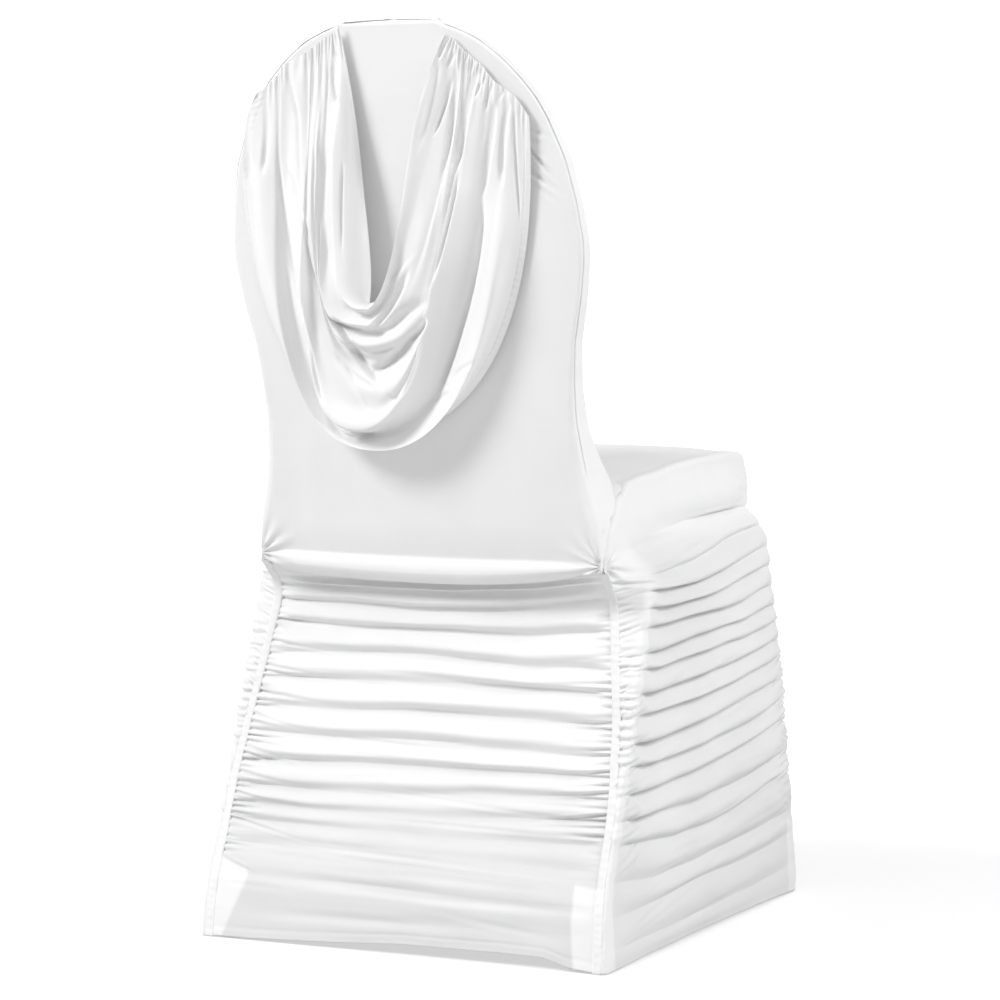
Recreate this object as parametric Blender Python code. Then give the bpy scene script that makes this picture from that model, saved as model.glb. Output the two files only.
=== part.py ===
"""Fitted stretch-knit cover for a stacking banquet chair, as it sits on the chair.

Metres, +Z up, the front of the chair faces -Y, origin on the floor at the middle of the
bounding box. Each cut piece of cloth is one closed sheet with its own name.
"""
import bpy
import numpy as np

# Driving dimensions.
HEIGHT = 0.940            # floor to the top of the back
CLOTH = 0.002             # thickness of a sheet
CENTRE_SHIFT = -0.0097    # brings the bounding box onto the origin in Y
STRIP_WIDTH = 0.009       # elastic strips that cover the skirts' seams
STRIP_CROWN = 0.0008      # how far the middle of a strip stands out
STRIP_GAP = 0.0024        # from a strip's edge to the skirt beside it
CORNER_ROUND = 0.008      # round of the side skirts where they wrap a leg
SEAM_INSET = 0.0023       # how far a back panel stops short of the strip round the back
BACK_SLOPE = 0.159        # backward lean of the back, metres per metre
HIP_Z, HIP_Y = 0.400, 0.190   # lower end of the back and its depth there
HEM_LIFT = 0.0012         # middle of the hem sheet above the floor
MILLIMETRE = 0.001

# Half width of the back at a height. Columns: z, half width.
BACK_OUTLINE = np.array([
    (0.374, 0.1965), (0.40, 0.1965), (0.42, 0.1965), (0.44, 0.1945), (0.46, 0.1885),
    (0.48, 0.184), (0.50, 0.181), (0.54, 0.177), (0.58, 0.1785), (0.62, 0.1825),
    (0.66, 0.1915), (0.70, 0.198), (0.72, 0.1985), (0.76, 0.1935), (0.80, 0.185),
    (0.84, 0.169), (0.86, 0.158), (0.88, 0.142), (0.90, 0.122), (0.919, 0.097),
    (0.928, 0.077), (0.9342, 0.060), (0.9375, 0.046)])
# Depth of the back from its rear panel to its inner panel. Columns: z, depth.
BACK_DEPTH = np.array([
    (0.40, 0.066), (0.48, 0.066), (0.50, 0.052), (0.53, 0.036), (0.57, 0.027),
    (0.62, 0.022), (0.70, 0.020), (0.94, 0.020)])
# Elastic strips on the rear and front faces. Columns: z, half width, y.
REAR_STRIP = np.array([
    (0.000, 0.2215, 0.2560), (0.030, 0.2212, 0.2525), (0.060, 0.2200, 0.2475),
    (0.090, 0.2185, 0.2370), (0.120, 0.2180, 0.2250), (0.150, 0.2175, 0.2140),
    (0.180, 0.2155, 0.2035), (0.240, 0.2094, 0.1830), (0.300, 0.2005, 0.1665),
    (0.345, 0.1942, 0.1545), (0.360, 0.1935, 0.1560), (0.380, 0.1940, 0.1740),
    (0.395, 0.1970, 0.1900)])
FRONT_STRIP = np.array([
    (0.000, 0.2210, -0.2600), (0.030, 0.2208, -0.2620), (0.060, 0.2200, -0.2575),
    (0.120, 0.2180, -0.2510), (0.180, 0.2155, -0.2385), (0.240, 0.2090, -0.2285),
    (0.300, 0.2005, -0.2120), (0.345, 0.1950, -0.1985), (0.380, 0.1930, -0.1915),
    (0.410, 0.1925, -0.1960), (0.431, 0.1915, -0.1870), (0.460, 0.1890, -0.1925),
    (0.490, 0.1880, -0.1835)])
# Corners that the side skirts wrap round: the legs stand outside the seat, so the
# corners flare out below it. Columns: z, half width, y.
REAR_CORNER = np.array([
    (0.000, 0.2320, 0.2560), (0.030, 0.2310, 0.2520), (0.060, 0.2292, 0.2460),
    (0.090, 0.2280, 0.2365), (0.120, 0.2275, 0.2250), (0.180, 0.2273, 0.2040),
    (0.240, 0.2275, 0.1833), (0.300, 0.2277, 0.1620), (0.345, 0.2262, 0.1475),
    (0.360, 0.2255, 0.1420), (0.380, 0.2236, 0.1330), (0.395, 0.2150, 0.1270),
    (0.410, 0.2045, 0.1230), (0.430, 0.2005, 0.1180), (0.490, 0.1980, 0.1140)])
FRONT_CORNER = np.array([
    (0.000, 0.2310, -0.2600), (0.030, 0.2305, -0.2625), (0.060, 0.2290, -0.2575),
    (0.120, 0.2275, -0.2510), (0.180, 0.2272, -0.2388), (0.240, 0.2268, -0.2290),
    (0.300, 0.2265, -0.2118), (0.360, 0.2262, -0.1938), (0.380, 0.2247, -0.1916),
    (0.400, 0.2200, -0.1950), (0.410, 0.2150, -0.1965), (0.420, 0.2085, -0.1957),
    (0.430, 0.2005, -0.1867), (0.445, 0.1993, -0.1895), (0.460, 0.1980, -0.1925),
    (0.472, 0.1972, -0.1915), (0.490, 0.1960, -0.1835)])
# Middle of the rear and front skirts. Columns: z, y.
REAR_MIDDLE = np.array([
    (0.000, 0.2560), (0.030, 0.2525), (0.060, 0.2480), (0.090, 0.2385), (0.120, 0.2270),
    (0.180, 0.2070), (0.240, 0.1890), (0.300, 0.1745), (0.345, 0.1630), (0.376, 0.1670)])
FRONT_MIDDLE = np.array([
    (0.000, -0.2600), (0.060, -0.2590), (0.120, -0.2530), (0.180, -0.2420),
    (0.240, -0.2330), (0.300, -0.2170), (0.345, -0.2030), (0.380, -0.1950),
    (0.410, -0.1990), (0.431, -0.1900), (0.460, -0.1960), (0.490, -0.1880)])
# Top edge of the seat's side from the rear knot to the front. Columns: y, z.
SEAT_EDGE = np.array([
    (-0.188, 0.484), (-0.178, 0.490), (-0.160, 0.4935), (-0.046, 0.491), (0.008, 0.488),
    (0.086, 0.480), (0.120, 0.473), (0.147, 0.461), (0.172, 0.430), (0.183, 0.400),
    (0.190, 0.395)])

# Ruching. A row is one groove: its height at five stations across the panel, then its
# depth in millimetres at the first seam, the middle and the second seam.
REAR_GROOVES = np.array([
    (0.3560, 0.3590, 0.3600, 0.3640, 0.3710, 5.0, 6.0, 4.5),
    (0.3430, 0.3435, 0.3430, 0.3470, 0.3560, 5.0, 6.5, 5.0),
    (0.3230, 0.3200, 0.3210, 0.3200, 0.3260, 6.0, 6.5, 5.5),
    (0.2880, 0.2930, 0.2940, 0.2890, 0.2900, 6.0, 7.0, 6.0),
    (0.2640, 0.2660, 0.2670, 0.2680, 0.2650, 5.5, 6.0, 6.0),
    (0.2350, 0.2350, 0.2390, 0.2370, 0.2340, 6.0, 7.0, 5.5),
    (0.2090, 0.2070, 0.2090, 0.2060, 0.2040, 5.5, 5.0, 5.5),
    (0.1800, 0.1820, 0.1840, 0.1850, 0.1860, 6.0, 5.5, 5.0),
    (0.1540, 0.1530, 0.1560, 0.1620, 0.1650, 5.5, 3.5, 5.0),
    (0.1390, 0.1340, 0.1350, 0.1400, 0.1440, 4.5, 1.5, 4.0),
    (0.1210, 0.1180, 0.1170, 0.1180, 0.1210, 4.0, 1.5, 3.0),
    (0.0960, 0.0980, 0.0990, 0.0970, 0.0960, 2.5, 1.8, 2.0),
    (0.0660, 0.0640, 0.0630, 0.0610, 0.0610, 1.5, 2.0, 1.5),
    (0.0340, 0.0320, 0.0300, 0.0330, 0.0350, 0.8, 1.4, 0.8)])
SIDE_GROOVES = np.array([
    (0.3880, 0.4150, 0.4260, 0.4300, 0.4310, 1.0, 3.0, 5.0),
    (0.3800, 0.3820, 0.3860, 0.4010, 0.4120, 3.0, 4.5, 4.0),
    (0.3660, 0.3670, 0.3660, 0.3760, 0.3880, 4.0, 5.5, 4.5),
    (0.3480, 0.3490, 0.3510, 0.3590, 0.3680, 5.0, 6.0, 5.0),
    (0.3260, 0.3310, 0.3340, 0.3340, 0.3450, 5.0, 5.0, 4.5),
    (0.3060, 0.3060, 0.3120, 0.3170, 0.3240, 5.0, 5.0, 4.5),
    (0.2910, 0.2900, 0.2930, 0.2960, 0.3030, 4.5, 4.5, 4.5),
    (0.2690, 0.2640, 0.2680, 0.2750, 0.2840, 5.0, 6.0, 5.0),
    (0.2440, 0.2450, 0.2490, 0.2550, 0.2630, 5.5, 6.0, 5.0),
    (0.2160, 0.2160, 0.2210, 0.2290, 0.2410, 5.5, 6.0, 5.0),
    (0.1940, 0.1930, 0.1960, 0.2030, 0.2160, 5.0, 5.5, 5.0),
    (0.1690, 0.1670, 0.1730, 0.1820, 0.1940, 5.0, 5.0, 5.0),
    (0.1440, 0.1400, 0.1390, 0.1440, 0.1560, 4.5, 4.0, 5.0),
    (0.1210, 0.1130, 0.1100, 0.1200, 0.1370, 3.0, 3.5, 4.5),
    (0.0860, 0.0760, 0.0780, 0.0830, 0.0900, 1.5, 2.5, 3.0),
    (0.0520, 0.0520, 0.0570, 0.0580, 0.0650, 0.8, 2.0, 1.5),
    (0.0200, 0.0200, 0.0220, 0.0250, 0.0310, 0.4, 1.2, 0.8)])
FRONT_GROOVES = np.array([
    (0.4310, 0.4300, 0.4290, 0.4300, 0.4310, 4.0, 4.0, 4.0),
    (0.3980, 0.3960, 0.3990, 0.4010, 0.3990, 4.5, 5.0, 4.5),
    (0.3640, 0.3620, 0.3610, 0.3640, 0.3660, 5.0, 6.0, 5.0),
    (0.3290, 0.3310, 0.3330, 0.3300, 0.3280, 5.0, 5.5, 5.5),
    (0.2960, 0.2940, 0.2960, 0.2990, 0.2980, 5.5, 6.0, 5.0),
    (0.2640, 0.2660, 0.2650, 0.2620, 0.2650, 5.0, 5.5, 5.5),
    (0.2310, 0.2300, 0.2330, 0.2340, 0.2310, 5.5, 6.0, 5.0),
    (0.2010, 0.2020, 0.2000, 0.1990, 0.2020, 5.0, 5.0, 5.0),
    (0.1720, 0.1690, 0.1700, 0.1730, 0.1710, 5.0, 4.0, 5.0),
    (0.1420, 0.1390, 0.1370, 0.1390, 0.1430, 4.0, 2.5, 4.0),
    (0.1080, 0.1050, 0.1060, 0.1070, 0.1090, 2.5, 2.0, 2.5),
    (0.0660, 0.0640, 0.0630, 0.0640, 0.0660, 1.0, 1.8, 1.0)])

# The drape: one row per fold line from the neckline facing out to the hem. Columns:
# left shoulder x, z, handle lean, handle drop, low handle width; low point x, z; right
# low handle width, drop, lean, right shoulder x, z; stand-off from the back at the
# sides and at the low point; how far the valley to the next line dips, sides and low.
SWAG_LINES = np.array([
    (.051, .936, -.032, .235, .004, .036, .658, -.038, .056, .047, -.067, .922,
     .006, .012, .000, .000),
    (.053, .929, -.020, .097, .070, .033, .651, -.039, .073, .051, -.073, .919,
     .025, .036, .003, .012),
    (.061, .925, .025, .275, .078, .030, .635, .000, .240, .030, -.081, .911,
     .024, .034, .000, .015),
    (.071, .920, .015, .189, .076, .036, .615, -.080, .211, .036, -.087, .905,
     .023, .031, .000, .016),
    (.080, .914, .023, .213, .089, .014, .574, -.026, .250, .048, -.094, .899,
     .024, .036, .004, .003),
    (.090, .908, .021, .307, .078, .038, .531, -.057, .218, .062, -.104, .891,
     .032, .048, .000, .000),
    (.117, .896, .042, .330, .045, .044, .524, -.100, .191, .028, -.116, .876,
     .011, .016, .000, .000),
    (.129, .883, .037, .317, .081, .029, .509, -.092, .217, .017, -.138, .860,
     .024, .033, .000, .000),
    (.153, .869, .046, .049, .147, .035, .522, -.030, .295, .002, -.152, .840,
     .0055, .007, .000, .000)])
SHOULDER_OFF = 0.0046     # stand-off of the drape where it is sewn down
GATHER = 0.0015           # height of the small pleats at the shoulders

COTTON_WHITE = (0.86, 0.86, 0.87, 1.0)
POCKET_WHITE = (0.93, 0.93, 0.94, 1.0)
SHADE_ANGLE = np.radians(60)


def lookup(table, at, column=1):
    """A table's column at the value of its first column."""
    return np.interp(at, table[:, 0], table[:, column])


def across(values, s):
    """Smooth curve through evenly spaced stations, s from 0 to 1."""
    values = np.asarray(values, float)
    n = len(values) - 1
    k = np.clip(np.floor(np.asarray(s) * n).astype(int), 0, n - 1)
    f = np.asarray(s) * n - k
    v0, v1 = values[np.maximum(k - 1, 0)], values[k]
    v2, v3 = values[k + 1], values[np.minimum(k + 2, n)]
    return v1 + 0.5 * f * (v2 - v0 + f * (2 * v0 - 5 * v1 + 4 * v2 - v3
                                          + f * (3 * (v1 - v2) + v3 - v0)))


def back_y(z):
    """Depth of the back's rear panel at a height."""
    return HIP_Y + BACK_SLOPE * (np.maximum(z, HIP_Z) - HIP_Z)


def inset_row(z):
    """Half width and height of a panel's row, short of the outline by the seam inset."""
    step = 0.002
    slope = (lookup(BACK_OUTLINE, z + step) - lookup(BACK_OUTLINE, z - step)) / (2 * step)
    size = np.hypot(1, slope)
    return lookup(BACK_OUTLINE, z) - SEAM_INSET / size, z + SEAM_INSET * slope / size


def material(name, colour, roughness):
    mat = bpy.data.materials.new(name)
    mat.use_nodes = True
    shader = mat.node_tree.nodes["Principled BSDF"]
    shader.inputs["Base Color"].default_value = colour
    shader.inputs["Roughness"].default_value = roughness
    shader.inputs["Metallic"].default_value = 0.0
    return mat


def sheet(name, grid, mat, outward):
    """Closed sheet of cloth on a grid of points, its face turned to `outward`."""
    grid = np.asarray(grid, float)
    rows, cols = grid.shape[:2]
    normal = np.cross(np.gradient(grid, axis=1), np.gradient(grid, axis=0))
    normal /= np.linalg.norm(normal, axis=2, keepdims=True)
    if (normal * np.asarray(outward)).sum() < 0:
        normal, flip = -normal, True
    else:
        flip = False
    half = normal * CLOTH / 2
    points = np.concatenate([(grid + half).reshape(-1, 3), (grid - half).reshape(-1, 3)])
    points[:, 1] += CENTRE_SHIFT
    at = np.arange(rows * cols).reshape(rows, cols)
    quads = np.stack([at[:-1, :-1], at[:-1, 1:], at[1:, 1:], at[1:, :-1]], 2).reshape(-1, 4)
    loop = np.concatenate([at[0, :-1], at[:-1, -1], at[-1, :0:-1], at[:0:-1, 0]])
    after = np.roll(loop, -1)
    under = rows * cols
    rim = np.stack([loop, loop + under, after + under, after], 1)
    faces = np.concatenate([quads, quads[:, ::-1] + under, rim])
    if flip:
        faces = faces[:, ::-1]
    mesh = bpy.data.meshes.new(name)
    mesh.from_pydata(points.tolist(), [], faces.tolist())
    mesh.materials.append(mat)
    mesh.validate()
    mesh.shade_smooth()
    mesh.set_sharp_from_angle(angle=SHADE_ANGLE)
    piece = bpy.data.objects.new(name, mesh)
    bpy.context.collection.objects.link(piece)
    return piece


def ruched(grooves, top, hem, s, fullness, steps, phase):
    """Heights and outward swell of the rows of a gathered panel at the place s.

    The rows follow the grooves, and each puff between two grooves is round and sags.
    The place may differ from groove to groove.
    """
    stations = np.vstack([top, grooves[:, :5], hem])
    depths = np.vstack([np.zeros(3), grooves[:, 5:], np.zeros(3)]) * MILLIMETRE
    places = np.broadcast_to(s, len(stations))
    z_at = [across(row, place) for row, place in zip(stations, places)]
    depth_at = [across(row, place) for row, place in zip(depths, places)]
    z_out, swell = [], []
    for k in range(len(z_at) - 1):
        uneven = fullness * (1 + UNEVEN * np.sin(9.0 * places[k] + 2.4 * k + phase))
        for t in steps:
            deep = (depth_at[k] + (depth_at[k + 1] - depth_at[k]) * t) * uneven
            puff = 1 - abs(2 * t - 1) ** 2.4
            z_out.append(z_at[k] + (z_at[k + 1] - z_at[k]) * t - PUFF_SAG * deep * puff)
            swell.append(deep * (puff - 0.55))
    z_out.append(z_at[-1])
    swell.append(0.0)
    return np.array(z_out), np.array(swell)


PUFF_SAG = 0.3                       # share of its depth that a puff hangs down
UNEVEN = 0.22                        # share by which the grooves' depth varies
AT_SEAM = 0.25                       # fullness of the ruching where it is sewn down
PUFF = (0.0, 0.2, 0.5, 0.8)          # rows in each puff of the rear skirt
SIDE_PUFF = (0.0, 0.22, 0.7)
FRONT_PUFF = (0.0, 0.3, 0.7)
REAR_TOP = (0.376, 0.376, 0.376, 0.377, 0.380)
REAR_HEM = (0.0, 0.004, 0.006, 0.006, 0.0)
SIDE_HEM = (0.0, 0.002, 0.003, 0.002, 0.0)
FRONT_TOP = (0.483, 0.483, 0.483, 0.483, 0.483)
FRONT_HEM = (0.0, 0.003, 0.004, 0.003, 0.0)
ACROSS = (1, 0.93, 0.72, 0.38, 0, -0.38, -0.72, -0.93, -1)


def end_panel(strip, middle, grooves, top, hem, steps, sign, phase):
    """Rear or front skirt: sign +1 faces +Y. Its columns run from +X to -X."""
    columns = []
    for u in ACROSS:
        fullness = AT_SEAM if abs(u) == 1 else 1.0
        z, swell = ruched(grooves, top, hem, (1 - u) / 2, fullness, steps, phase)
        z = z + HEM_LIFT
        edge = lookup(strip, z, 2)
        y = edge + (lookup(middle, z) - edge) * (1 - abs(u) ** 2.2)
        x = u * (lookup(strip, z) - STRIP_WIDTH / 2 - STRIP_GAP)
        columns.append(np.stack([x, y + sign * swell, z], 1))
    return np.stack(columns, 1)


# A side skirt's way round the chair has six key points: beside the rear strip, before
# and after the rear corner, before and after the front corner, beside the front strip.
# Columns: outward x, outward y, fullness of the ruching, y at the top edge.
SIDE_KEYS = np.array([
    (0.0, 1.0, AT_SEAM, 0.187), (0.4, 0.9, 1.0, 0.140), (0.9, 0.4, 1.0, 0.118),
    (0.9, -0.4, 1.0, -0.175), (0.4, -0.9, 1.0, -0.182), (0.0, -1.0, AT_SEAM, -0.184)])
# Columns of points of a side skirt, as places between the key points.
SIDE_STOPS = (0, 0.5, 1, 2, 2.15, 2.38, 2.62, 2.86, 3, 4, 5)
# Share of a side skirt's width in front of its rear corner. Columns: z, share.
SIDE_BEND = np.array([(0.0, 0.02), (0.12, 0.025), (0.24, 0.08), (0.345, 0.17), (0.38, 0.21)])
LEAN_OFF = 0.0032                    # from the back's outline to the leaning side skirt
LEAN_FROM, LEAN_RISE = 0.39, 0.03    # height where the lean starts, and its blend
LEAN_STOPS = 0.2                     # how far past the rear corner the lean reaches


def side_key_points(z):
    """The six key points of a +X side skirt at the heights z, as (6, n, 2)."""
    beside = STRIP_WIDTH / 2 + STRIP_GAP
    rear = np.stack([lookup(REAR_STRIP, z) + beside, lookup(REAR_STRIP, z, 2)], 1)
    front = np.stack([lookup(FRONT_STRIP, z) + beside, lookup(FRONT_STRIP, z, 2)], 1)
    rear_corner = np.stack([lookup(REAR_CORNER, z), lookup(REAR_CORNER, z, 2)], 1)
    front_corner = np.stack([lookup(FRONT_CORNER, z), lookup(FRONT_CORNER, z, 2)], 1)

    def short_of(corner, end):
        """A point on the way from a corner to an end, one corner's round away."""
        way = end - corner
        size = np.linalg.norm(way, axis=1, keepdims=True)
        return corner + way * np.minimum(CORNER_ROUND / size, 0.6)

    return np.array([rear, short_of(rear_corner, rear), short_of(rear_corner, front_corner),
                     short_of(front_corner, rear_corner), short_of(front_corner, front),
                     front])


def side_panel(side, phase):
    nominal = np.concatenate([SEAT_EDGE[-5:-4, 1], SIDE_GROOVES[:, 2], [0.0]])
    bend = lookup(SIDE_BEND, nominal)
    places = np.stack([0 * bend, 0.9 * bend, 1.1 * bend, 0.98 + 0 * bend, 1 + 0 * bend,
                       1 + 0 * bend])
    columns = []
    for stop in SIDE_STOPS:
        k = min(int(stop), len(SIDE_KEYS) - 2)
        f = stop - k
        out_x, out_y, fullness, y_top = SIDE_KEYS[k] * (1 - f) + SIDE_KEYS[k + 1] * f
        s = places[k] * (1 - f) + places[k + 1] * f
        z_top = np.full(5, lookup(SEAT_EDGE, y_top))
        z, swell = ruched(SIDE_GROOVES, z_top, SIDE_HEM, s, fullness, SIDE_PUFF, phase)
        z = z + HEM_LIFT
        keys = side_key_points(z)
        x, y = (keys[k] * (1 - f) + keys[k + 1] * f).T
        size = np.hypot(out_x, out_y)
        x, y = x + swell * out_x / size, y + swell * out_y / size
        # the upper rear corner leans in to meet the back
        near_back = np.clip((2 + LEAN_STOPS - stop) / LEAN_STOPS, 0, 1)
        near_back = near_back * np.clip((z - LEAN_FROM) / LEAN_RISE, 0, 1)
        x = x + (np.minimum(x, lookup(BACK_OUTLINE, z) + LEAN_OFF) - x) * near_back
        columns.append(np.stack([side * x, y, z], 1))
    return np.stack(columns, 1)


def seam_band(side, strip, sign, z_low, z_high):
    """Smooth elastic strip over a seam of the rear or front face."""
    rows = []
    for z in np.linspace(z_low, z_high, 17):
        x, y = lookup(strip, z), lookup(strip, z, 2)
        rows.append([(side * (x + STRIP_WIDTH / 2), y, z),
                     (side * x, y + sign * STRIP_CROWN, z),
                     (side * (x - STRIP_WIDTH / 2), y, z)])
    return np.array(rows)


POCKET_INSET = 0.0058
# Walls of a foot pocket. Columns: how far in from the corner along X, and along Y.
POCKET_PLAN = ((0.040, 0.0015), (0.020, 0.0005), (0.006, 0.0), (0.0018, 0.0018),
               (0.0, 0.006), (0.0003, 0.016), (0.0006, 0.029))
POCKET_LEVELS = (0.084, 0.060, 0.036, 0.014, 0.0035)
POCKET_SHIFT = (0.010, 0.006)        # middle of its floor, inward from the walls' middle


def foot_pocket(side, corner, sign):
    """Inner cup at a corner: two walls inside the skirt and a floor under the foot."""
    walls = []
    for z in POCKET_LEVELS:
        x, y = lookup(corner, z) - POCKET_INSET, lookup(corner, z, 2) - sign * POCKET_INSET
        walls.append([(side * (x - dx), y - sign * dy, z) for dx, dy in POCKET_PLAN])
    walls = np.array(walls)
    middle = walls[-1].mean(0) - (side * POCKET_SHIFT[0], sign * POCKET_SHIFT[1], 0)
    floor = []
    for share in (0.93, 0.6, 0.25):
        ring = middle + (walls[-1] - middle) * share
        ring[:, 2] = HEM_LIFT
        floor.append(ring)
    return np.concatenate([walls, np.array(floor)])


OUTER_TURN, INNER_TURN = 0.004, 0.003      # how far the back panels' edges curve in
HIP_SAG, INNER_LIFT = 0.003, 0.010         # bow of their lower edges, down and up
# Rows of the back panels. The roll is the puff at the hips, with its swell in mm.
OUTER_ROWS = (0.937, 0.933, 0.927, 0.919, 0.905, 0.886, 0.86, 0.83, 0.79, 0.74, 0.69,
              0.64, 0.59, 0.54, 0.49, 0.465, 0.44)
ROLL = ((0.420, 0.0), (0.408, -0.8), (0.4015, -4.2), (0.396, -0.6), (0.390, 2.6),
        (0.384, 2.2), (0.379, -2.2), (0.3755, -7.0))
INNER_ROWS = (0.937, 0.933, 0.927, 0.917, 0.90, 0.87, 0.83, 0.77, 0.70, 0.63, 0.57,
              0.53, 0.505, 0.482)
OUTER_ACROSS = (1, 0.96, 0.86, 0.65, 0.4, 0.13, -0.13, -0.4, -0.65, -0.86, -0.96, -1)
INNER_ACROSS = (1, 0.94, 0.75, 0.4, 0, -0.4, -0.75, -0.94, -1)


def back_outer():
    rows = []
    for z, swell in [(z, 0.0) for z in OUTER_ROWS] + list(ROLL):
        half, z = inset_row(z) if z > 0.45 else (lookup(BACK_OUTLINE, z) - SEAM_INSET, z)
        row = []
        for u in OUTER_ACROSS:
            y = back_y(z) - OUTER_TURN * abs(u) ** 8 + MILLIMETRE * swell * (1 - abs(u) ** 10)
            sag = HIP_SAG * (1 - u * u) if z < 0.41 else 0.0
            row.append((u * half, y, z - sag))
        rows.append(row)
    return np.array(rows)


def back_inner():
    rows = []
    for z in INNER_ROWS:
        half, z = inset_row(z)
        row = []
        for u in INNER_ACROSS:
            y = back_y(z) - lookup(BACK_DEPTH, z) + INNER_TURN * abs(u) ** 8
            lift = INNER_LIFT * (1 - u * u) if z < 0.49 else 0.0
            row.append((u * half, y, z + lift))
        rows.append(row)
    return np.array(rows)


BOXING_HEIGHTS = (0.415, 0.44, 0.465, 0.49, 0.52, 0.56, 0.60, 0.64, 0.68, 0.71, 0.74,
                  0.78, 0.82, 0.85, 0.875, 0.895, 0.912, 0.924, 0.932)
BOXING_LIFT = 0.0045      # from the side skirt's top edge up to the strip's end
BOXING_END_ROWS = 3       # rows that follow the side skirt's top edge


def back_boxing():
    """Strip round the outline of the back, from one hip over the top to the other."""
    side = [(lookup(BACK_OUTLINE, z), z) for z in BOXING_HEIGHTS]
    top = [(0.046, 0.9375), (0.023, HEIGHT - 0.0012), (0.0, HEIGHT - 0.001)]
    half = side + top
    path = np.array(half + [(-x, z) for x, z in half[-2::-1]])
    rows = []
    for k, (x, z) in enumerate(path):
        deep = lookup(BACK_DEPTH, z)
        y0 = back_y(z) - OUTER_TURN - SEAM_INSET
        y1 = back_y(z) - deep + INNER_TURN + SEAM_INSET
        row = []
        for w in (0.0, 0.33, 0.67, 1.0):
            y = y0 + (y1 - y0) * w
            end = 1 - min(k, len(path) - 1 - k) / BOXING_END_ROWS    # 1 at the hips
            zz = z
            if end > 0:
                hem = lookup(SEAT_EDGE, y) + BOXING_LIFT
                zz = z + (hem - z) * end if hem > z or end == 1 else z
                x = np.sign(x) * lookup(BACK_OUTLINE, zz)
            row.append((x, y, zz))
        rows.append(row)
    return np.array(rows)


SEAT_HALF, SEAT_NARROWS = 0.1925, 0.008    # half width, and how much less at the back
SEAT_CROWN = 0.007
SEAT_ROWS = (0.1335, 0.11, 0.06, 0.0, -0.06, -0.12, -0.155, -0.170, -0.177, -0.1805)
SEAT_ACROSS = (1, 0.93, 0.78, 0.5, 0.17, -0.17, -0.5, -0.78, -0.93, -1)


def seat_panel():
    rows = []
    for y in SEAT_ROWS:
        half = SEAT_HALF - SEAT_NARROWS * np.clip((y - 0.06) / 0.06, 0, 1)
        row = []
        for u in SEAT_ACROSS:
            crown = SEAT_CROWN * (1 - abs(u) ** 3) * np.clip((y + 0.21) / 0.06, 0.3, 1)
            row.append((u * half, y, lookup(SEAT_EDGE, y) + crown - 0.001))
        rows.append(row)
    return np.array(rows)


def fold_curve(line, t):
    """Point and stand-off on a fold line, t from the left shoulder (0) to the right (1)."""
    (lx, lz, l_lean, l_drop, l_low, bx, bz, r_low, r_drop, r_lean, rx, rz,
     off_side, off_low, _, _) = line
    low = np.array([bx, bz])
    if t <= 0.5:
        start, lean, drop, width = np.array([lx, lz]), l_lean, l_drop, l_low
        f = t * 2
    else:
        start, lean, drop, width = np.array([rx, rz]), r_lean, r_drop, r_low
        f = (1 - t) * 2
    h1, h2 = start + (lean, -drop), low + (width, 0)
    g = 1 - f
    x, z = start * g ** 3 + 3 * h1 * f * g * g + 3 * h2 * f * f * g + low * f ** 3
    rise = np.clip(f / 0.35, 0, 1)
    rise = rise * rise * (3 - 2 * rise)
    fall = np.clip((f - 0.5) / 0.5, 0, 1)
    fall = fall * fall * (3 - 2 * fall)
    off = SHOULDER_OFF + (off_side - SHOULDER_OFF) * rise + (off_low - off_side) * fall
    return np.array([x, z, off]), f, fall


def swag(columns, between):
    """The drape: fold lines, a valley between each two, and rows blended in between."""
    ts = 0.5 - 0.5 * np.cos(np.pi * np.linspace(0, 1, columns))
    ts = 0.45 * ts + 0.55 * np.linspace(0, 1, columns)
    rows = []
    for k, line in enumerate(SWAG_LINES):
        here = [fold_curve(line, t) for t in ts]
        rows.append(np.array([p for p, _, _ in here]))
        if k + 1 == len(SWAG_LINES):
            break
        after = [fold_curve(SWAG_LINES[k + 1], t)[0] for t in ts]
        valley = []
        for (p, f, fall), q in zip(here, after):
            mid = (p + q) / 2
            dip = line[14] + (line[15] - line[14]) * fall
            room = np.clip(f / 0.35, 0, 1)
            mid[2] = max(mid[2] - dip * room, SHOULDER_OFF)
            mid[1] += 0.25 * dip * room
            valley.append(mid)
        rows.append(np.array(valley))
    rows = np.array(rows)
    for _ in range(between):
        before = np.concatenate([rows[:1], rows[:-2]])
        ahead = np.concatenate([rows[2:], rows[-1:]])
        halves = (9 * (rows[:-1] + rows[1:]) - before - ahead) / 16
        merged = np.empty((2 * len(rows) - 1,) + rows.shape[1:])
        merged[::2], merged[1::2] = rows, halves
        rows = merged
    near_end = np.minimum(ts, 1 - ts)
    pleat = GATHER * np.exp(-(near_end / 0.05) ** 2)
    for k in range(len(rows)):
        rows[k, :, 2] += pleat * (1 if k % 2 else -0.6)
    rows[..., 2] = np.maximum(rows[..., 2], SHOULDER_OFF - GATHER)
    x, z, off = rows[..., 0], rows[..., 1], rows[..., 2]
    reach = lookup(BACK_OUTLINE, z)
    x = np.clip(x, -reach, reach)
    return np.stack([x, back_y(z) + off, z], -1)


for old in list(bpy.data.objects):
    bpy.data.objects.remove(old, do_unlink=True)

cloth = material("white_knit", COTTON_WHITE, 0.62)
lining = material("pocket_knit", POCKET_WHITE, 0.70)

sheet("back_outer", back_outer(), cloth, (0, 1, 0))
sheet("back_inner", back_inner(), cloth, (0, -1, 0))
sheet("seat_panel", seat_panel(), cloth, (0, 0, 1))
boxing = back_boxing()
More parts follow.
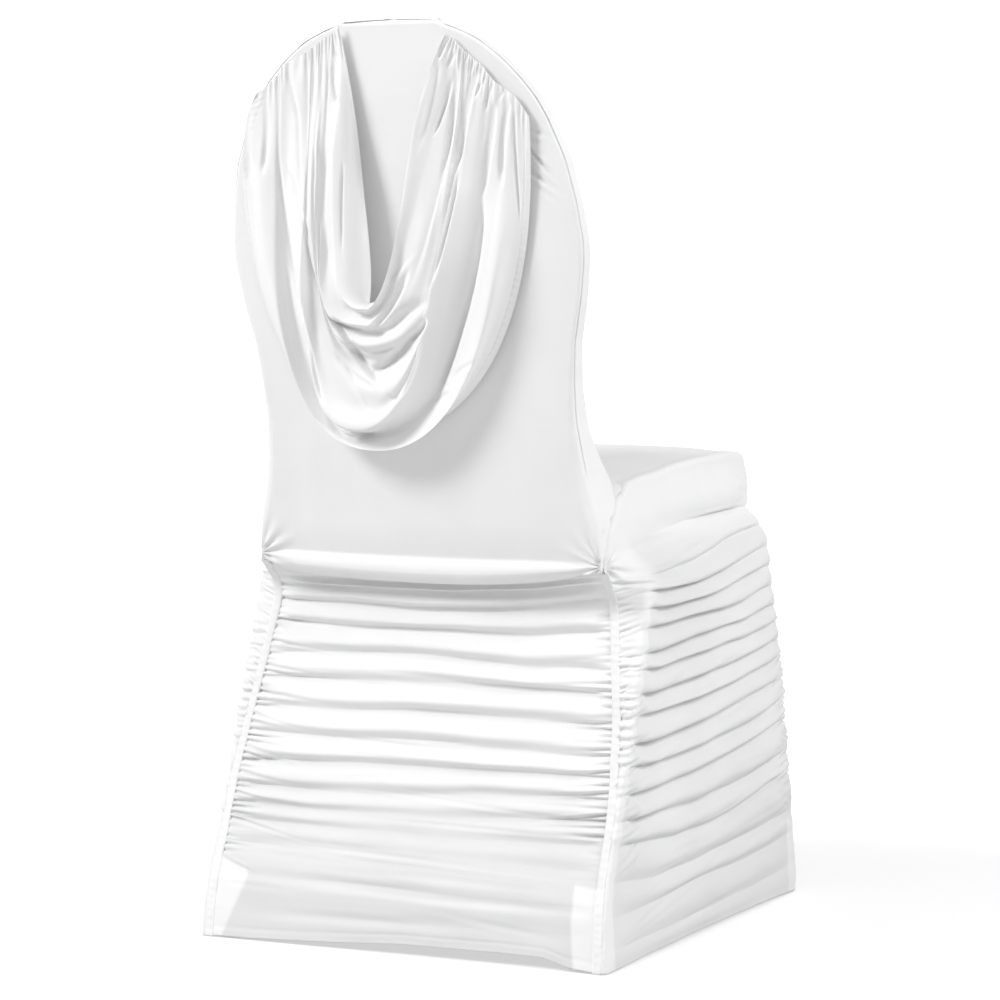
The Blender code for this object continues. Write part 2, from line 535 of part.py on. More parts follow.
# outward from a point inside the back, level with its widest place
outward = (boxing - (0, 0, 0.7)) * (1, 0, 1)
sheet("back_boxing", boxing, cloth, outward)
sheet("skirt_rear", end_panel(REAR_STRIP, REAR_MIDDLE, REAR_GROOVES, REAR_TOP, REAR_HEM,
                              PUFF, 1, 0.4), cloth, (0, 1, 0))
sheet("skirt_front", end_panel(FRONT_STRIP, FRONT_MIDDLE, FRONT_GROOVES, FRONT_TOP,
                               FRONT_HEM, FRONT_PUFF, -1, 1.7), cloth, (0, -1, 0))
for side, label in ((1, "left"), (-1, "right")):
    sheet("skirt_" + label, side_panel(side, 0.9 if side < 0 else 2.3), cloth,
          (side, 0, 0))
    sheet("seam_band_rear_" + label, seam_band(side, REAR_STRIP, 1, 0.0005, 0.366), cloth,
          (0, 1, 0))
    sheet("seam_band_front_" + label, seam_band(side, FRONT_STRIP, -1, 0.0005, 0.478),
          cloth, (0, -1, 0))
    sheet("foot_pocket_rear_" + label, foot_pocket(side, REAR_CORNER, 1), lining,
          (side, 1, -0.5))
    sheet("foot_pocket_front_" + label, foot_pocket(side, FRONT_CORNER, -1), lining,
          (side, -1, -0.5))
sheet("swag", swag(37, 1), cloth, (0, 1, 0))
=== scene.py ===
# %% [markdown]
# # A fitted chair cover with a cowl drape
#
# The object is a white stretch-knit cover for a round-topped banquet chair, seen from
# behind. It is sewn from a few flat pieces: two back panels with a narrow strip between
# them, a seat, four skirts gathered along their corner seams, and a loose drape that
# hangs from the shoulders. Cloth is thin, so every piece here is one thin surface, and
# all the work goes into where its folds lie.
#
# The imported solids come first. They are the fixed frame: each cloth surface below
# replaces one solid and keeps to its place and size.

# %% Load the frame
import math

import bpy
import numpy as np
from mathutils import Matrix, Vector


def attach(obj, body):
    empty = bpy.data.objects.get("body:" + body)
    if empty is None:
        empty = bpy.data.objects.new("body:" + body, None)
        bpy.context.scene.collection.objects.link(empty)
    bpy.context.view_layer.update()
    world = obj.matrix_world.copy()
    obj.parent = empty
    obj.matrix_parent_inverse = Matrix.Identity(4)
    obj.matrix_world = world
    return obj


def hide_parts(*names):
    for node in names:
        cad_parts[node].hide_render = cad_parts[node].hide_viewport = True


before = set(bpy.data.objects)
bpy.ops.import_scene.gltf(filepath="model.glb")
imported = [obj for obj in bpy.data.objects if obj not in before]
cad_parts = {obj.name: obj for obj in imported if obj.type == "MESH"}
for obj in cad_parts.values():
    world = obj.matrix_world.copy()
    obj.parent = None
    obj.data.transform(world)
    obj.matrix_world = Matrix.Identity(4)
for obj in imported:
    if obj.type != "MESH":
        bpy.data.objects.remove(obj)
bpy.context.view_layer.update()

# %% [markdown]
# ## Camera
#
# A long lens a few metres away flattens a chair the way a shop photograph does. The
# chair is turned so that its back and its right-hand side show, and the camera stands at
# about three quarters of the cover's height. The place is given as a turn round the
# chair, a tilt and a distance, which are easier to judge than three coordinates.

# %% Camera
CAMERA_TURN = math.radians(206.2)     # round the chair from its front
CAMERA_TILT = math.radians(3.94)      # looking down
CAMERA_DISTANCE = 3.688               # metres from the aim
AIM_HEIGHT, AIM_SIDE = 0.4452, -0.009
FOCAL_PER_WIDTH = 3.4505              # focal length over the picture's width
CENTRE_SHIFT = -0.0097                # the part's own shift in Y

camera_data = bpy.data.cameras.new("camera")
camera_data.sensor_width = 36.0
camera_data.lens = camera_data.sensor_width * FOCAL_PER_WIDTH
camera = bpy.data.objects.new("camera", camera_data)
bpy.context.collection.objects.link(camera)
away = Vector((math.sin(CAMERA_TURN) * math.cos(CAMERA_TILT),
               -math.cos(CAMERA_TURN) * math.cos(CAMERA_TILT), math.sin(CAMERA_TILT)))
camera_right = Vector((math.cos(CAMERA_TURN), math.sin(CAMERA_TURN), 0.0))
aim = camera_right * AIM_SIDE + Vector((0.0, CENTRE_SHIFT, AIM_HEIGHT))
camera.location = aim + away * CAMERA_DISTANCE
camera.rotation_euler = away.to_track_quat("Z", "Y").to_euler()
bpy.context.scene.camera = camera
print("camera at", [round(v, 3) for v in camera.location], "lens", round(camera_data.lens, 1))

# %% [markdown]
# ## Helpers for materials
#
# The paper and the cloth both get their looks from small networks of nodes. These
# helpers add a node and join it to what feeds it, which is either the output of another
# node or a plain value.

# %% Node helpers


def add(tree, kind, **settings):
    node = tree.nodes.new(kind)
    for key, value in settings.items():
        setattr(node, key, value)
    return node


def feed(tree, sockets, sources):
    """Joins each socket to another node's output, or gives it a value of its own."""
    for socket, source in zip(sockets, sources):
        if isinstance(source, bpy.types.NodeSocket):
            tree.links.new(source, socket)
        else:
            socket.default_value = source


def maths(tree, operation, *sources):
    node = add(tree, "ShaderNodeMath", operation=operation)
    feed(tree, node.inputs, sources)
    return node.outputs[0]


def map_range(tree, *sources):
    """A value moved from one range to another. Sources: value, old range, new range."""
    node = add(tree, "ShaderNodeMapRange")
    labels = ("Value", "From Min", "From Max", "To Min", "To Max")
    feed(tree, [node.inputs[label] for label in labels], sources)
    return node.outputs["Result"]


def mix(tree, *sources, blend_type="MIX"):
    """A mix of two colours. Sources: share of the second, first colour, second colour."""
    node = add(tree, "ShaderNodeMix", data_type="RGBA", blend_type=blend_type)
    feed(tree, [node.inputs[label] for label in ("Factor", "A", "B")], sources)
    return node.outputs["Result"]


def noise(tree, place, scale, detail):
    node = add(tree, "ShaderNodeTexNoise")
    labels = ("Vector", "Scale", "Detail")
    feed(tree, [node.inputs[label] for label in labels], (place, scale, detail))
    return node.outputs["Fac"]


# %% [markdown]
# ## Floor, backdrop and light
#
# White cloth on white needs soft light from all round, or its folds turn harsh, and two
# stronger lights from above and the sides, or they disappear. The floor runs up into a
# paper backdrop, as in a studio, and the paper is lit on its own so that it stays white
# without more light on the cloth. Both share one material that grows lighter with the
# distance behind the chair. Its glow is only seen and doesn't light the cloth, because
# light from below would wash the folds out. From behind the paper can't be seen, so that
# the chair can be looked at from its front too.

# %% Floor and backdrop
FLOOR_TONE, PAPER_GLOW_NEAR, PAPER_GLOW_FAR = 0.60, 0.46, 0.78
GLOW_START, GLOW_END = 0.3, 2.2       # metres behind the chair, where the glow changes
COVE_START, COVE_RADIUS, COVE_TOP, COVE_HALF = 1.6, 1.0, 4.0, 3.0
WORLD_STRENGTH = 0.55

paper = bpy.data.materials.new("studio_paper")
paper.use_nodes = True
paper_tree = paper.node_tree
paper_shader = paper_tree.nodes["Principled BSDF"]
paper_shader.inputs["Base Color"].default_value = (FLOOR_TONE, FLOOR_TONE, FLOOR_TONE, 1)
paper_shader.inputs["Roughness"].default_value = 0.9
paper_shader.inputs["Emission Strength"].default_value = 1.0
place = add(paper_tree, "ShaderNodeTexCoord")
behind = add(paper_tree, "ShaderNodeVectorMath", operation="DOT_PRODUCT")
straight_back = (-math.sin(CAMERA_TURN), math.cos(CAMERA_TURN), 0)
feed(paper_tree, behind.inputs, (place.outputs["Object"], straight_back))
glow = map_range(paper_tree, behind.outputs["Value"], GLOW_START, GLOW_END,
                 PAPER_GLOW_NEAR, PAPER_GLOW_FAR)
seen = add(paper_tree, "ShaderNodeLightPath").outputs["Is Camera Ray"]
paper_side = add(paper_tree, "ShaderNodeNewGeometry").outputs["Backfacing"]
feed(paper_tree, [paper_shader.inputs["Emission Color"], paper_shader.inputs["Alpha"]],
     (maths(paper_tree, "MULTIPLY", glow, seen), maths(paper_tree, "SUBTRACT", 1.0, paper_side)))

bpy.ops.object.select_all(action="DESELECT")
bpy.ops.mesh.primitive_plane_add(size=30, location=(0, 0, -0.0005))
floor = bpy.context.object
floor.name = "floor"
floor.data.materials.append(paper)

bpy.ops.object.select_all(action="DESELECT")
bpy.ops.mesh.primitive_grid_add(x_subdivisions=2, y_subdivisions=24, size=2)
backdrop = bpy.context.object
backdrop.name = "backdrop"
for vertex in backdrop.data.vertices:
    way = (vertex.co.y + 1) / 2 * 1.5
    side = vertex.co.x * COVE_HALF
    turn = min(max(way - 0.25, 0), 1) * math.pi / 2
    deep = COVE_START + min(way, 0.25) * 4 * 0.3 + COVE_RADIUS * math.sin(turn)
    tall = COVE_RADIUS * (1 - math.cos(turn)) + max(way - 1.25, 0) * 4 * (COVE_TOP - COVE_RADIUS)
    vertex.co = (-away.x * deep + camera_right.x * side, -away.y * deep + camera_right.y * side,
                 tall)
backdrop.data.materials.append(paper)
bpy.ops.object.shade_smooth()
print("backdrop stands", round(COVE_START + COVE_RADIUS, 2), "m behind the chair")

# %% Light
world = bpy.context.scene.world or bpy.data.worlds.new("studio")
bpy.context.scene.world = world
world.use_nodes = True
world.node_tree.nodes["Background"].inputs["Color"].default_value = (1, 1, 1, 1)
world.node_tree.nodes["Background"].inputs["Strength"].default_value = WORLD_STRENGTH
bpy.context.scene.view_settings.view_transform = "Standard"


def soft_light(name, place, size, power):
    """An area light that faces the middle of the chair."""
    data = bpy.data.lights.new(name, "AREA")
    data.shape = "SQUARE"
    data.size = size
    data.energy = power
    light = bpy.data.objects.new(name, data)
    bpy.context.collection.objects.link(light)
    light.location = place
    towards = Vector((0, 0, 0.5)) - Vector(place)
    light.rotation_euler = towards.to_track_quat("-Z", "Y").to_euler()


soft_light("key", (1.9, 2.3, 2.7), 1.1, 84)
soft_light("fill", (-3.0, 0.4, 2.4), 1.4, 64)

# %% [markdown]
# ## Sizes shared by the pieces
#
# A sewn cover takes its shape from a few lines: the outline of the back, the four
# corner seams, and how far each panel stands out between its seams. Each line is a
# short table of heights and places, and a lookup reads it at any height.

# %% Sizes
HEIGHT = 0.940
STRIP_WIDTH = 0.009      # elastic strips that cover the skirts' seams
CORNER_ROUND = 0.007     # round of the side skirts where they wrap a leg
BACK_SLOPE = 0.159
HIP_Z, HIP_Y = 0.400, 0.190
HEM_LIFT = 0.0012
STITCH_DEPTH, STITCH_WIDTH = 0.0006, 0.0012    # the groove of a stitched hem
PATCH_TOP, PATCH_EDGE = 0.085, 0.005           # a pale foot patch and its soft edge

# Half width of the back at a height. Columns: z, half width.
BACK_OUTLINE = np.array([
    (0.374, 0.1965), (0.40, 0.1965), (0.42, 0.1965), (0.44, 0.1945), (0.46, 0.1885),
    (0.48, 0.184), (0.50, 0.181), (0.54, 0.177), (0.58, 0.1785), (0.62, 0.1825),
    (0.66, 0.1915), (0.70, 0.198), (0.72, 0.1985), (0.76, 0.1935), (0.80, 0.185),
    (0.84, 0.169), (0.86, 0.158), (0.88, 0.142), (0.90, 0.122), (0.919, 0.097),
    (0.928, 0.077), (0.9342, 0.060), (0.9375, 0.046)])
# Depth of the back from its rear panel to its inner panel. Columns: z, depth.
BACK_DEPTH = np.array([
    (0.40, 0.066), (0.48, 0.066), (0.50, 0.052), (0.53, 0.036), (0.57, 0.027),
    (0.62, 0.022), (0.70, 0.020), (0.94, 0.020)])
# Elastic strips on the rear and front faces. Columns: z, half width, y.
REAR_STRIP = np.array([
    (0.000, 0.2215, 0.2560), (0.030, 0.2212, 0.2525), (0.060, 0.2200, 0.2475),
    (0.090, 0.2185, 0.2370), (0.120, 0.2180, 0.2250), (0.150, 0.2175, 0.2140),
    (0.180, 0.2155, 0.2035), (0.240, 0.2094, 0.1830), (0.300, 0.2005, 0.1665),
    (0.345, 0.1942, 0.1545), (0.360, 0.1935, 0.1560), (0.380, 0.1940, 0.1740),
    (0.395, 0.1970, 0.1900)])
FRONT_STRIP = np.array([
    (0.000, 0.2210, -0.2600), (0.030, 0.2208, -0.2620), (0.060, 0.2200, -0.2575),
    (0.120, 0.2180, -0.2510), (0.180, 0.2155, -0.2385), (0.240, 0.2090, -0.2285),
    (0.300, 0.2005, -0.2120), (0.345, 0.1950, -0.1985), (0.380, 0.1930, -0.1915),
    (0.410, 0.1925, -0.1960), (0.431, 0.1915, -0.1870), (0.460, 0.1890, -0.1925),
    (0.490, 0.1880, -0.1835)])
# Corners that the side skirts wrap round: the legs stand outside the seat, so the
# corners flare out below it. Columns: z, half width, y.
REAR_CORNER = np.array([
    (0.000, 0.2320, 0.2560), (0.030, 0.2310, 0.2520), (0.060, 0.2292, 0.2460),
    (0.090, 0.2280, 0.2365), (0.120, 0.2275, 0.2250), (0.180, 0.2273, 0.2040),
    (0.240, 0.2275, 0.1833), (0.300, 0.2277, 0.1620), (0.345, 0.2262, 0.1475),
    (0.360, 0.2255, 0.1420), (0.380, 0.2236, 0.1330), (0.395, 0.2150, 0.1270),
    (0.410, 0.2045, 0.1230), (0.430, 0.2005, 0.1180), (0.490, 0.1980, 0.1140)])
FRONT_CORNER = np.array([
    (0.000, 0.2310, -0.2600), (0.030, 0.2305, -0.2625), (0.060, 0.2290, -0.2575),
    (0.120, 0.2275, -0.2510), (0.180, 0.2272, -0.2388), (0.240, 0.2268, -0.2290),
    (0.300, 0.2265, -0.2118), (0.360, 0.2262, -0.1938), (0.380, 0.2247, -0.1916),
    (0.400, 0.2200, -0.1950), (0.410, 0.2150, -0.1965), (0.420, 0.2085, -0.1957),
    (0.430, 0.2005, -0.1867), (0.445, 0.1993, -0.1895), (0.460, 0.1980, -0.1925),
    (0.472, 0.1972, -0.1915), (0.490, 0.1960, -0.1835)])
# Middle of the rear and front skirts. Columns: z, y.
REAR_MIDDLE = np.array([
    (0.000, 0.2560), (0.030, 0.2525), (0.060, 0.2480), (0.090, 0.2385), (0.120, 0.2270),
    (0.180, 0.2070), (0.240, 0.1890), (0.300, 0.1745), (0.345, 0.1630), (0.376, 0.1680)])
FRONT_MIDDLE = np.array([
    (0.000, -0.2600), (0.060, -0.2590), (0.120, -0.2530), (0.180, -0.2420),
    (0.240, -0.2330), (0.300, -0.2170), (0.345, -0.2030), (0.380, -0.1950),
    (0.410, -0.1990), (0.431, -0.1900), (0.460, -0.1960), (0.490, -0.1880)])
# Top edge of the seat's side from the rear knot to the front. Columns: y, z.
SEAT_EDGE = np.array([
    (-0.188, 0.484), (-0.178, 0.490), (-0.160, 0.4935), (-0.046, 0.491), (0.008, 0.488),
    (0.086, 0.480), (0.120, 0.473), (0.147, 0.461), (0.172, 0.430), (0.183, 0.400),
    (0.190, 0.395)])
print("tables: outline", len(BACK_OUTLINE), "strips", len(REAR_STRIP), len(FRONT_STRIP))

# %% [markdown]
# ## Small helpers for folds
#
# Four helpers do most of the work. One reads a table, with its corners rounded so that
# no kink shows in the cloth. One draws a smooth curve through evenly spaced stations.
# One gives unevenness that is the same on every run, since no gathered seam is regular.
# One adds short creases, each with a place, a length, a slope and a depth.

# %% Helpers


def lookup(table, at, column=1, rounding=0.006):
    """A table's column at the value of its first column, its corners rounded off."""
    at = np.asarray(at, float)
    total = 0.0
    for step, share in ((-1.0, 0.25), (0.0, 0.5), (1.0, 0.25)):
        total = total + share * np.interp(at + step * rounding, table[:, 0], table[:, column])
    return total


def ease(x):
    x = np.clip(x, 0, 1)
    return x * x * (3 - 2 * x)


def bell(x):
    return np.exp(-x ** 2)


def denser_ends(t, share):
    """Moves evenly spaced values from 0 to 1 closer together near both ends."""
    return share * (0.5 - 0.5 * np.cos(np.pi * t)) + (1 - share) * t


def across(rows, s):
    """Smooth curves through evenly spaced stations: one result row for each row."""
    rows = np.atleast_2d(np.asarray(rows, float))
    last = rows.shape[1] - 1
    k = np.clip(np.floor(s * last).astype(int), 0, last - 1)
    f = s * last - k
    v0, v1 = rows[:, np.maximum(k - 1, 0)], rows[:, k]
    v2, v3 = rows[:, k + 1], rows[:, np.minimum(k + 2, last)]
    return v1 + 0.5 * f * (v2 - v0 + f * (2 * v0 - 5 * v1 + 4 * v2 - v3
                                          + f * (3 * (v1 - v2) + v3 - v0)))


def drift(u, v, seed):
    """Smooth unevenness between -1 and 1 over two coordinates."""
    lattice = np.random.RandomState(seed).uniform(-1, 1, (64, 64))
    u, v = np.broadcast_arrays(np.asarray(u, float), np.asarray(v, float))
    i, j = np.floor(u).astype(int), np.floor(v).astype(int)
    fu, fv = ease(u - i), ease(v - j)
    near = lattice[i % 64, j % 64] * (1 - fu) + lattice[(i + 1) % 64, j % 64] * fu
    far = lattice[i % 64, (j + 1) % 64] * (1 - fu) + lattice[(i + 1) % 64, (j + 1) % 64] * fu
    return near * (1 - fv) + far * fv


def creases(along, height, marks):
    """Sum of short creases. Marks: place, height, reach, slope, depth, half width."""
    total = np.zeros(np.broadcast(along, height).shape)
    for place, level, reach, slope, depth, wide in marks:
        off = (height - level - slope * (along - place)) / wide
        near = bell((along - place) / reach)
        lips = bell(off - 1.9) + bell(off + 1.9)
        total -= depth * near * (bell(off) - 0.35 * lips)
    return total


def back_y(z):
    """Depth of the back's rear panel at a height."""
    return HIP_Y + BACK_SLOPE * (np.maximum(z, HIP_Z) - HIP_Z)


# %% [markdown]
# ## From a grid to a piece of cloth
#
# Each panel starts as Blender's own grid, which brings its rows, columns and a UV map.
# The points are then moved to their places on the chair, as pattern cutters think of
# a flat piece that is pulled over a form. A point attribute says where something
# white lies behind the thin knit, because that is where it looks whiter. It also
# carries painted shade, which makes the side skirts greyer than the rear skirt, and
# painted light, which makes the back lighter towards its top.

# %% Cloth from a grid


def cloth(name, points, outward, backing_and_painted_light=None):
    """A sheet through a (rows, columns, 3) array, its face turned to `outward`."""
    rows, cols = points.shape[:2]
    bpy.ops.object.select_all(action="DESELECT")
    bpy.ops.mesh.primitive_grid_add(x_subdivisions=cols - 1, y_subdivisions=rows - 1,
                                    size=2, location=(0, 0, 0))
    piece = bpy.context.object
    piece.name = name
    mesh = piece.data
    mesh.name = name
    flat = np.empty(len(mesh.vertices) * 3)
    mesh.vertices.foreach_get("co", flat)
    flat = flat.reshape(-1, 3)
    col = np.rint((flat[:, 0] + 1) / 2 * (cols - 1)).astype(int)
    row = np.rint((flat[:, 1] + 1) / 2 * (rows - 1)).astype(int)
    placed = points[row, col] + (0, CENTRE_SHIFT, 0)
    mesh.vertices.foreach_set("co", placed.ravel())
    mesh.update()
    facing = np.empty(len(mesh.polygons) * 3)
    mesh.polygons.foreach_get("normal", facing)
    if facing.reshape(-1, 3).mean(0) @ np.asarray(outward, float) < 0:
        bpy.ops.object.mode_set(mode="EDIT")
        bpy.ops.mesh.select_all(action="SELECT")
        bpy.ops.mesh.flip_normals()
        bpy.ops.object.mode_set(mode="OBJECT")
    across_length = np.linalg.norm(np.diff(points, axis=1), axis=2).sum(1).mean()
    down_length = np.linalg.norm(np.diff(points, axis=0), axis=2).sum(0).mean()
    uv = mesh.uv_layers.active.data
    coords = np.empty(len(uv) * 2)
    uv.foreach_get("uv", coords)
    coords = coords.reshape(-1, 2) * (across_length, down_length)
    uv.foreach_set("uv", coords.ravel())
    shade = mesh.attributes.new("backing_and_painted_light", "FLOAT", "POINT")
    values = np.ones((rows, cols)) if backing_and_painted_light is None else np.broadcast_to(backing_and_painted_light, (rows, cols))
    shade.data.foreach_set("value", values[row, col].ravel().astype(np.float32))
    bpy.ops.object.shade_smooth()
    area = sum(p.area for p in mesh.polygons)
    print(name, rows, "x", cols, "area", round(area, 4), "runs",
          round(across_length, 3), "by", round(down_length, 3))
    return piece


def sewn(piece, node, material):
    """Gives a finished sheet its material and its place under the root, and hides its solid."""
    piece.data.materials.clear()
    piece.data.materials.append(material)
    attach(piece, "root")
    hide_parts(node)


# %% [markdown]
# ## The knit
#
# Elastane knit is matt, with a soft sheen at grazing angles, and it is thin enough to
# look greyer where nothing white is behind it. Its wales are fine ribs about a
# millimetre apart. The ribs and the slight unevenness of the yarn go in one node group,
# so that the skirt, the drape and the doubled cloth of the foot pockets share it.

# %% The knit's node group


def new_group(name, inputs, outputs):
    group = bpy.data.node_groups.new(name, "ShaderNodeTree")
    for label, kind, default in inputs:
        socket = group.interface.new_socket(label, in_out="INPUT", socket_type=kind)
        socket.default_value = default
    for label, kind in outputs:
        group.interface.new_socket(label, in_out="OUTPUT", socket_type=kind)
    return group, group.nodes.new("NodeGroupInput"), group.nodes.new("NodeGroupOutput")


COURSE_SHARE = 0.72      # a wale's width over the height of one row of stitches
knit, knit_in, knit_out = new_group(
    "stretch_knit",
    [("Wale width", "NodeSocketFloat", 0.0011), ("Unevenness", "NodeSocketFloat", 1.0)],
    [("Height", "NodeSocketFloat"), ("Tone", "NodeSocketFloat")])
coords = add(knit, "ShaderNodeTexCoord")
split = add(knit, "ShaderNodeSeparateXYZ")
feed(knit, split.inputs, [coords.outputs["UV"]])
turns = maths(knit, "DIVIDE", math.pi, knit_in.outputs["Wale width"])
rib_height = []
for axis, stretch in (("X", 1.0), ("Y", COURSE_SHARE)):
    angle = maths(knit, "MULTIPLY", maths(knit, "MULTIPLY", split.outputs[axis], turns), stretch)
    rib_height.append(maths(knit, "ABSOLUTE", maths(knit, "SINE", angle)))
slub = noise(knit, coords.outputs["Object"], 160, 3)
uneven = maths(knit, "MULTIPLY", slub, knit_in.outputs["Unevenness"])
height = maths(knit, "ADD", maths(knit, "MULTIPLY", *rib_height), uneven)
cloudy = noise(knit, coords.outputs["Object"], 9, 2)
feed(knit, [knit_out.inputs["Height"], knit_out.inputs["Tone"]], (height, cloudy))

# %% [markdown]
# Each material keeps its own shader and takes only changing values from the group. The
# base colour runs from the greyer knit over empty space to the whiter knit over a
# backing, then a faint cloudiness moves it a little either way. The point attribute
# that sets the share also holds painted shade and painted light in places.

# %% Cloth materials
RIB_HEIGHT = 0.00012
INSIDE_GLOW = (0.10, 0.10, 0.10, 1)    # light that comes through the thin cloth
BACKED_SHARE = 0.6       # share of the whiter colour where the backing is 1


def knit_material(name, open_colour, backed_colour, roughness, sheen, wale):
    material = bpy.data.materials.new(name)
    material.use_nodes = True
    tree = material.node_tree
    shader = tree.nodes["Principled BSDF"]
    shader.inputs["Roughness"].default_value = roughness
    shader.inputs["Sheen Weight"].default_value = sheen
    shader.inputs["Sheen Roughness"].default_value = 0.4
    shader.inputs["Specular IOR Level"].default_value = 0.25
    weave = add(tree, "ShaderNodeGroup", node_tree=knit)
    weave.inputs["Wale width"].default_value = wale
    backing_and_painted_light = add(tree, "ShaderNodeAttribute", attribute_name="backing_and_painted_light").outputs["Fac"]
    white = maths(tree, "MULTIPLY", backing_and_painted_light, BACKED_SHARE)
    cloud = map_range(tree, weave.outputs["Tone"], 0.3, 0.7, 0.975, 1.01)
    colour = mix(tree, 1.0, mix(tree, white, open_colour, backed_colour), cloud,
                 blend_type="MULTIPLY")
    relief = add(tree, "ShaderNodeBump")
    feed(tree, [relief.inputs[label] for label in ("Strength", "Distance", "Height")],
         (0.35, RIB_HEIGHT, weave.outputs["Height"]))
    inside = add(tree, "ShaderNodeNewGeometry").outputs["Backfacing"]
    glow = mix(tree, inside, (0, 0, 0, 1), INSIDE_GLOW)
    feed(tree, [shader.inputs[label] for label in ("Base Color", "Normal", "Emission Color")],
         (colour, relief.outputs["Normal"], glow))
    shader.inputs["Emission Strength"].default_value = 1.0
    return material


white_knit = knit_material("white_knit", (0.73, 0.73, 0.735, 1), (0.95, 0.95, 0.952, 1),
                           0.78, 0.12, 0.0011)
drape_knit = knit_material("drape_knit", (0.84, 0.84, 0.845, 1), (0.89, 0.89, 0.892, 1),
                           0.72, 0.15, 0.0010)
pocket_knit = knit_material("pocket_knit", (0.86, 0.86, 0.86, 1), (0.90, 0.90, 0.90, 1),
                            0.82, 0.08, 0.0014)

# %% [markdown]
# ## Gathered skirts
#
# The skirts are cut longer than the chair and drawn up along their corner seams, which
# makes grooves from seam to seam with soft puffs between. On the real cover each groove
# wanders, so each has a table row: its height at five stations and its depth at three.
# The rows of points follow the grooves. That keeps each groove crisp with few points,
# and lets a puff sag over the groove below it, which a displaced flat grid can't do.

# %% Groove tables
# Columns: z at five stations across, then depth in mm at first seam, middle, second seam.
REAR_GROOVES = np.array([
    (0.3700, 0.3690, 0.3690, 0.3725, 0.3830, 3.0, 4.5, 3.0),
    (0.3620, 0.3600, 0.3600, 0.3650, 0.3770, 5.0, 6.0, 4.5),
    (0.3440, 0.3435, 0.3430, 0.3480, 0.3600, 5.0, 6.5, 5.0),
    (0.3230, 0.3200, 0.3210, 0.3200, 0.3260, 6.0, 6.5, 5.5),
    (0.2880, 0.2930, 0.2940, 0.2890, 0.2900, 6.0, 7.0, 6.0),
    (0.2640, 0.2660, 0.2670, 0.2680, 0.2650, 5.5, 6.0, 6.0),
    (0.2350, 0.2350, 0.2390, 0.2370, 0.2340, 6.0, 7.0, 5.5),
    (0.2090, 0.2070, 0.2090, 0.2060, 0.2040, 5.5, 5.0, 5.5),
    (0.1800, 0.1820, 0.1840, 0.1850, 0.1860, 6.0, 5.5, 5.0),
    (0.1540, 0.1530, 0.1560, 0.1620, 0.1650, 5.5, 2.8, 5.0),
    (0.1390, 0.1340, 0.1350, 0.1400, 0.1440, 4.5, 0.9, 4.0),
    (0.1210, 0.1180, 0.1170, 0.1180, 0.1210, 3.0, 0.5, 2.2),
    (0.0960, 0.0980, 0.0990, 0.0970, 0.0960, 1.2, 0.6, 0.8),
    (0.0660, 0.0640, 0.0630, 0.0610, 0.0610, 0.6, 0.9, 0.5),
    (0.0340, 0.0320, 0.0300, 0.0330, 0.0350, 0.3, 0.5, 0.3)])
SIDE_GROOVES = np.array([
    (0.3880, 0.4150, 0.4260, 0.4300, 0.4310, 1.0, 3.0, 5.0),
    (0.3800, 0.3820, 0.3860, 0.4010, 0.4120, 3.0, 4.5, 4.0),
    (0.3660, 0.3670, 0.3660, 0.3760, 0.3880, 4.0, 5.5, 4.5),
    (0.3480, 0.3490, 0.3510, 0.3590, 0.3680, 5.0, 6.0, 5.0),
    (0.3260, 0.3310, 0.3340, 0.3340, 0.3450, 5.0, 5.0, 4.5),
    (0.3060, 0.3060, 0.3120, 0.3170, 0.3240, 5.0, 5.0, 4.5),
    (0.2910, 0.2900, 0.2930, 0.2960, 0.3030, 4.5, 4.5, 4.5),
    (0.2690, 0.2640, 0.2680, 0.2750, 0.2840, 5.0, 6.0, 5.0),
    (0.2440, 0.2450, 0.2490, 0.2550, 0.2630, 5.5, 6.0, 5.0),
    (0.2160, 0.2160, 0.2210, 0.2290, 0.2410, 5.5, 6.0, 5.0),
    (0.1940, 0.1930, 0.1960, 0.2030, 0.2160, 5.0, 5.5, 5.0),
    (0.1690, 0.1670, 0.1730, 0.1820, 0.1940, 5.0, 5.0, 5.0),
    (0.1440, 0.1400, 0.1390, 0.1440, 0.1560, 4.5, 4.0, 5.0),
    (0.1210, 0.1130, 0.1100, 0.1200, 0.1370, 3.0, 3.5, 4.5),
    (0.0860, 0.0760, 0.0780, 0.0830, 0.0900, 1.5, 2.5, 3.0),
    (0.0520, 0.0520, 0.0570, 0.0580, 0.0650, 0.8, 2.0, 1.5),
    (0.0200, 0.0200, 0.0220, 0.0250, 0.0310, 0.4, 1.2, 0.8)])
FRONT_GROOVES = np.array([
    (0.4310, 0.4300, 0.4290, 0.4300, 0.4310, 4.0, 4.0, 4.0),
    (0.3980, 0.3960, 0.3990, 0.4010, 0.3990, 4.5, 5.0, 4.5),
    (0.3640, 0.3620, 0.3610, 0.3640, 0.3660, 5.0, 6.0, 5.0),
    (0.3290, 0.3310, 0.3330, 0.3300, 0.3280, 5.0, 5.5, 5.5),
    (0.2960, 0.2940, 0.2960, 0.2990, 0.2980, 5.5, 6.0, 5.0),
    (0.2640, 0.2660, 0.2650, 0.2620, 0.2650, 5.0, 5.5, 5.5),
    (0.2310, 0.2300, 0.2330, 0.2340, 0.2310, 5.5, 6.0, 5.0),
    (0.2010, 0.2020, 0.2000, 0.1990, 0.2020, 5.0, 5.0, 5.0),
    (0.1720, 0.1690, 0.1700, 0.1730, 0.1710, 5.0, 4.0, 5.0),
    (0.1420, 0.1390, 0.1370, 0.1390, 0.1430, 4.0, 2.5, 4.0),
    (0.1080, 0.1050, 0.1060, 0.1070, 0.1090, 2.5, 2.0, 2.5),
    (0.0660, 0.0640, 0.0630, 0.0640, 0.0660, 1.0, 1.8, 1.0)])
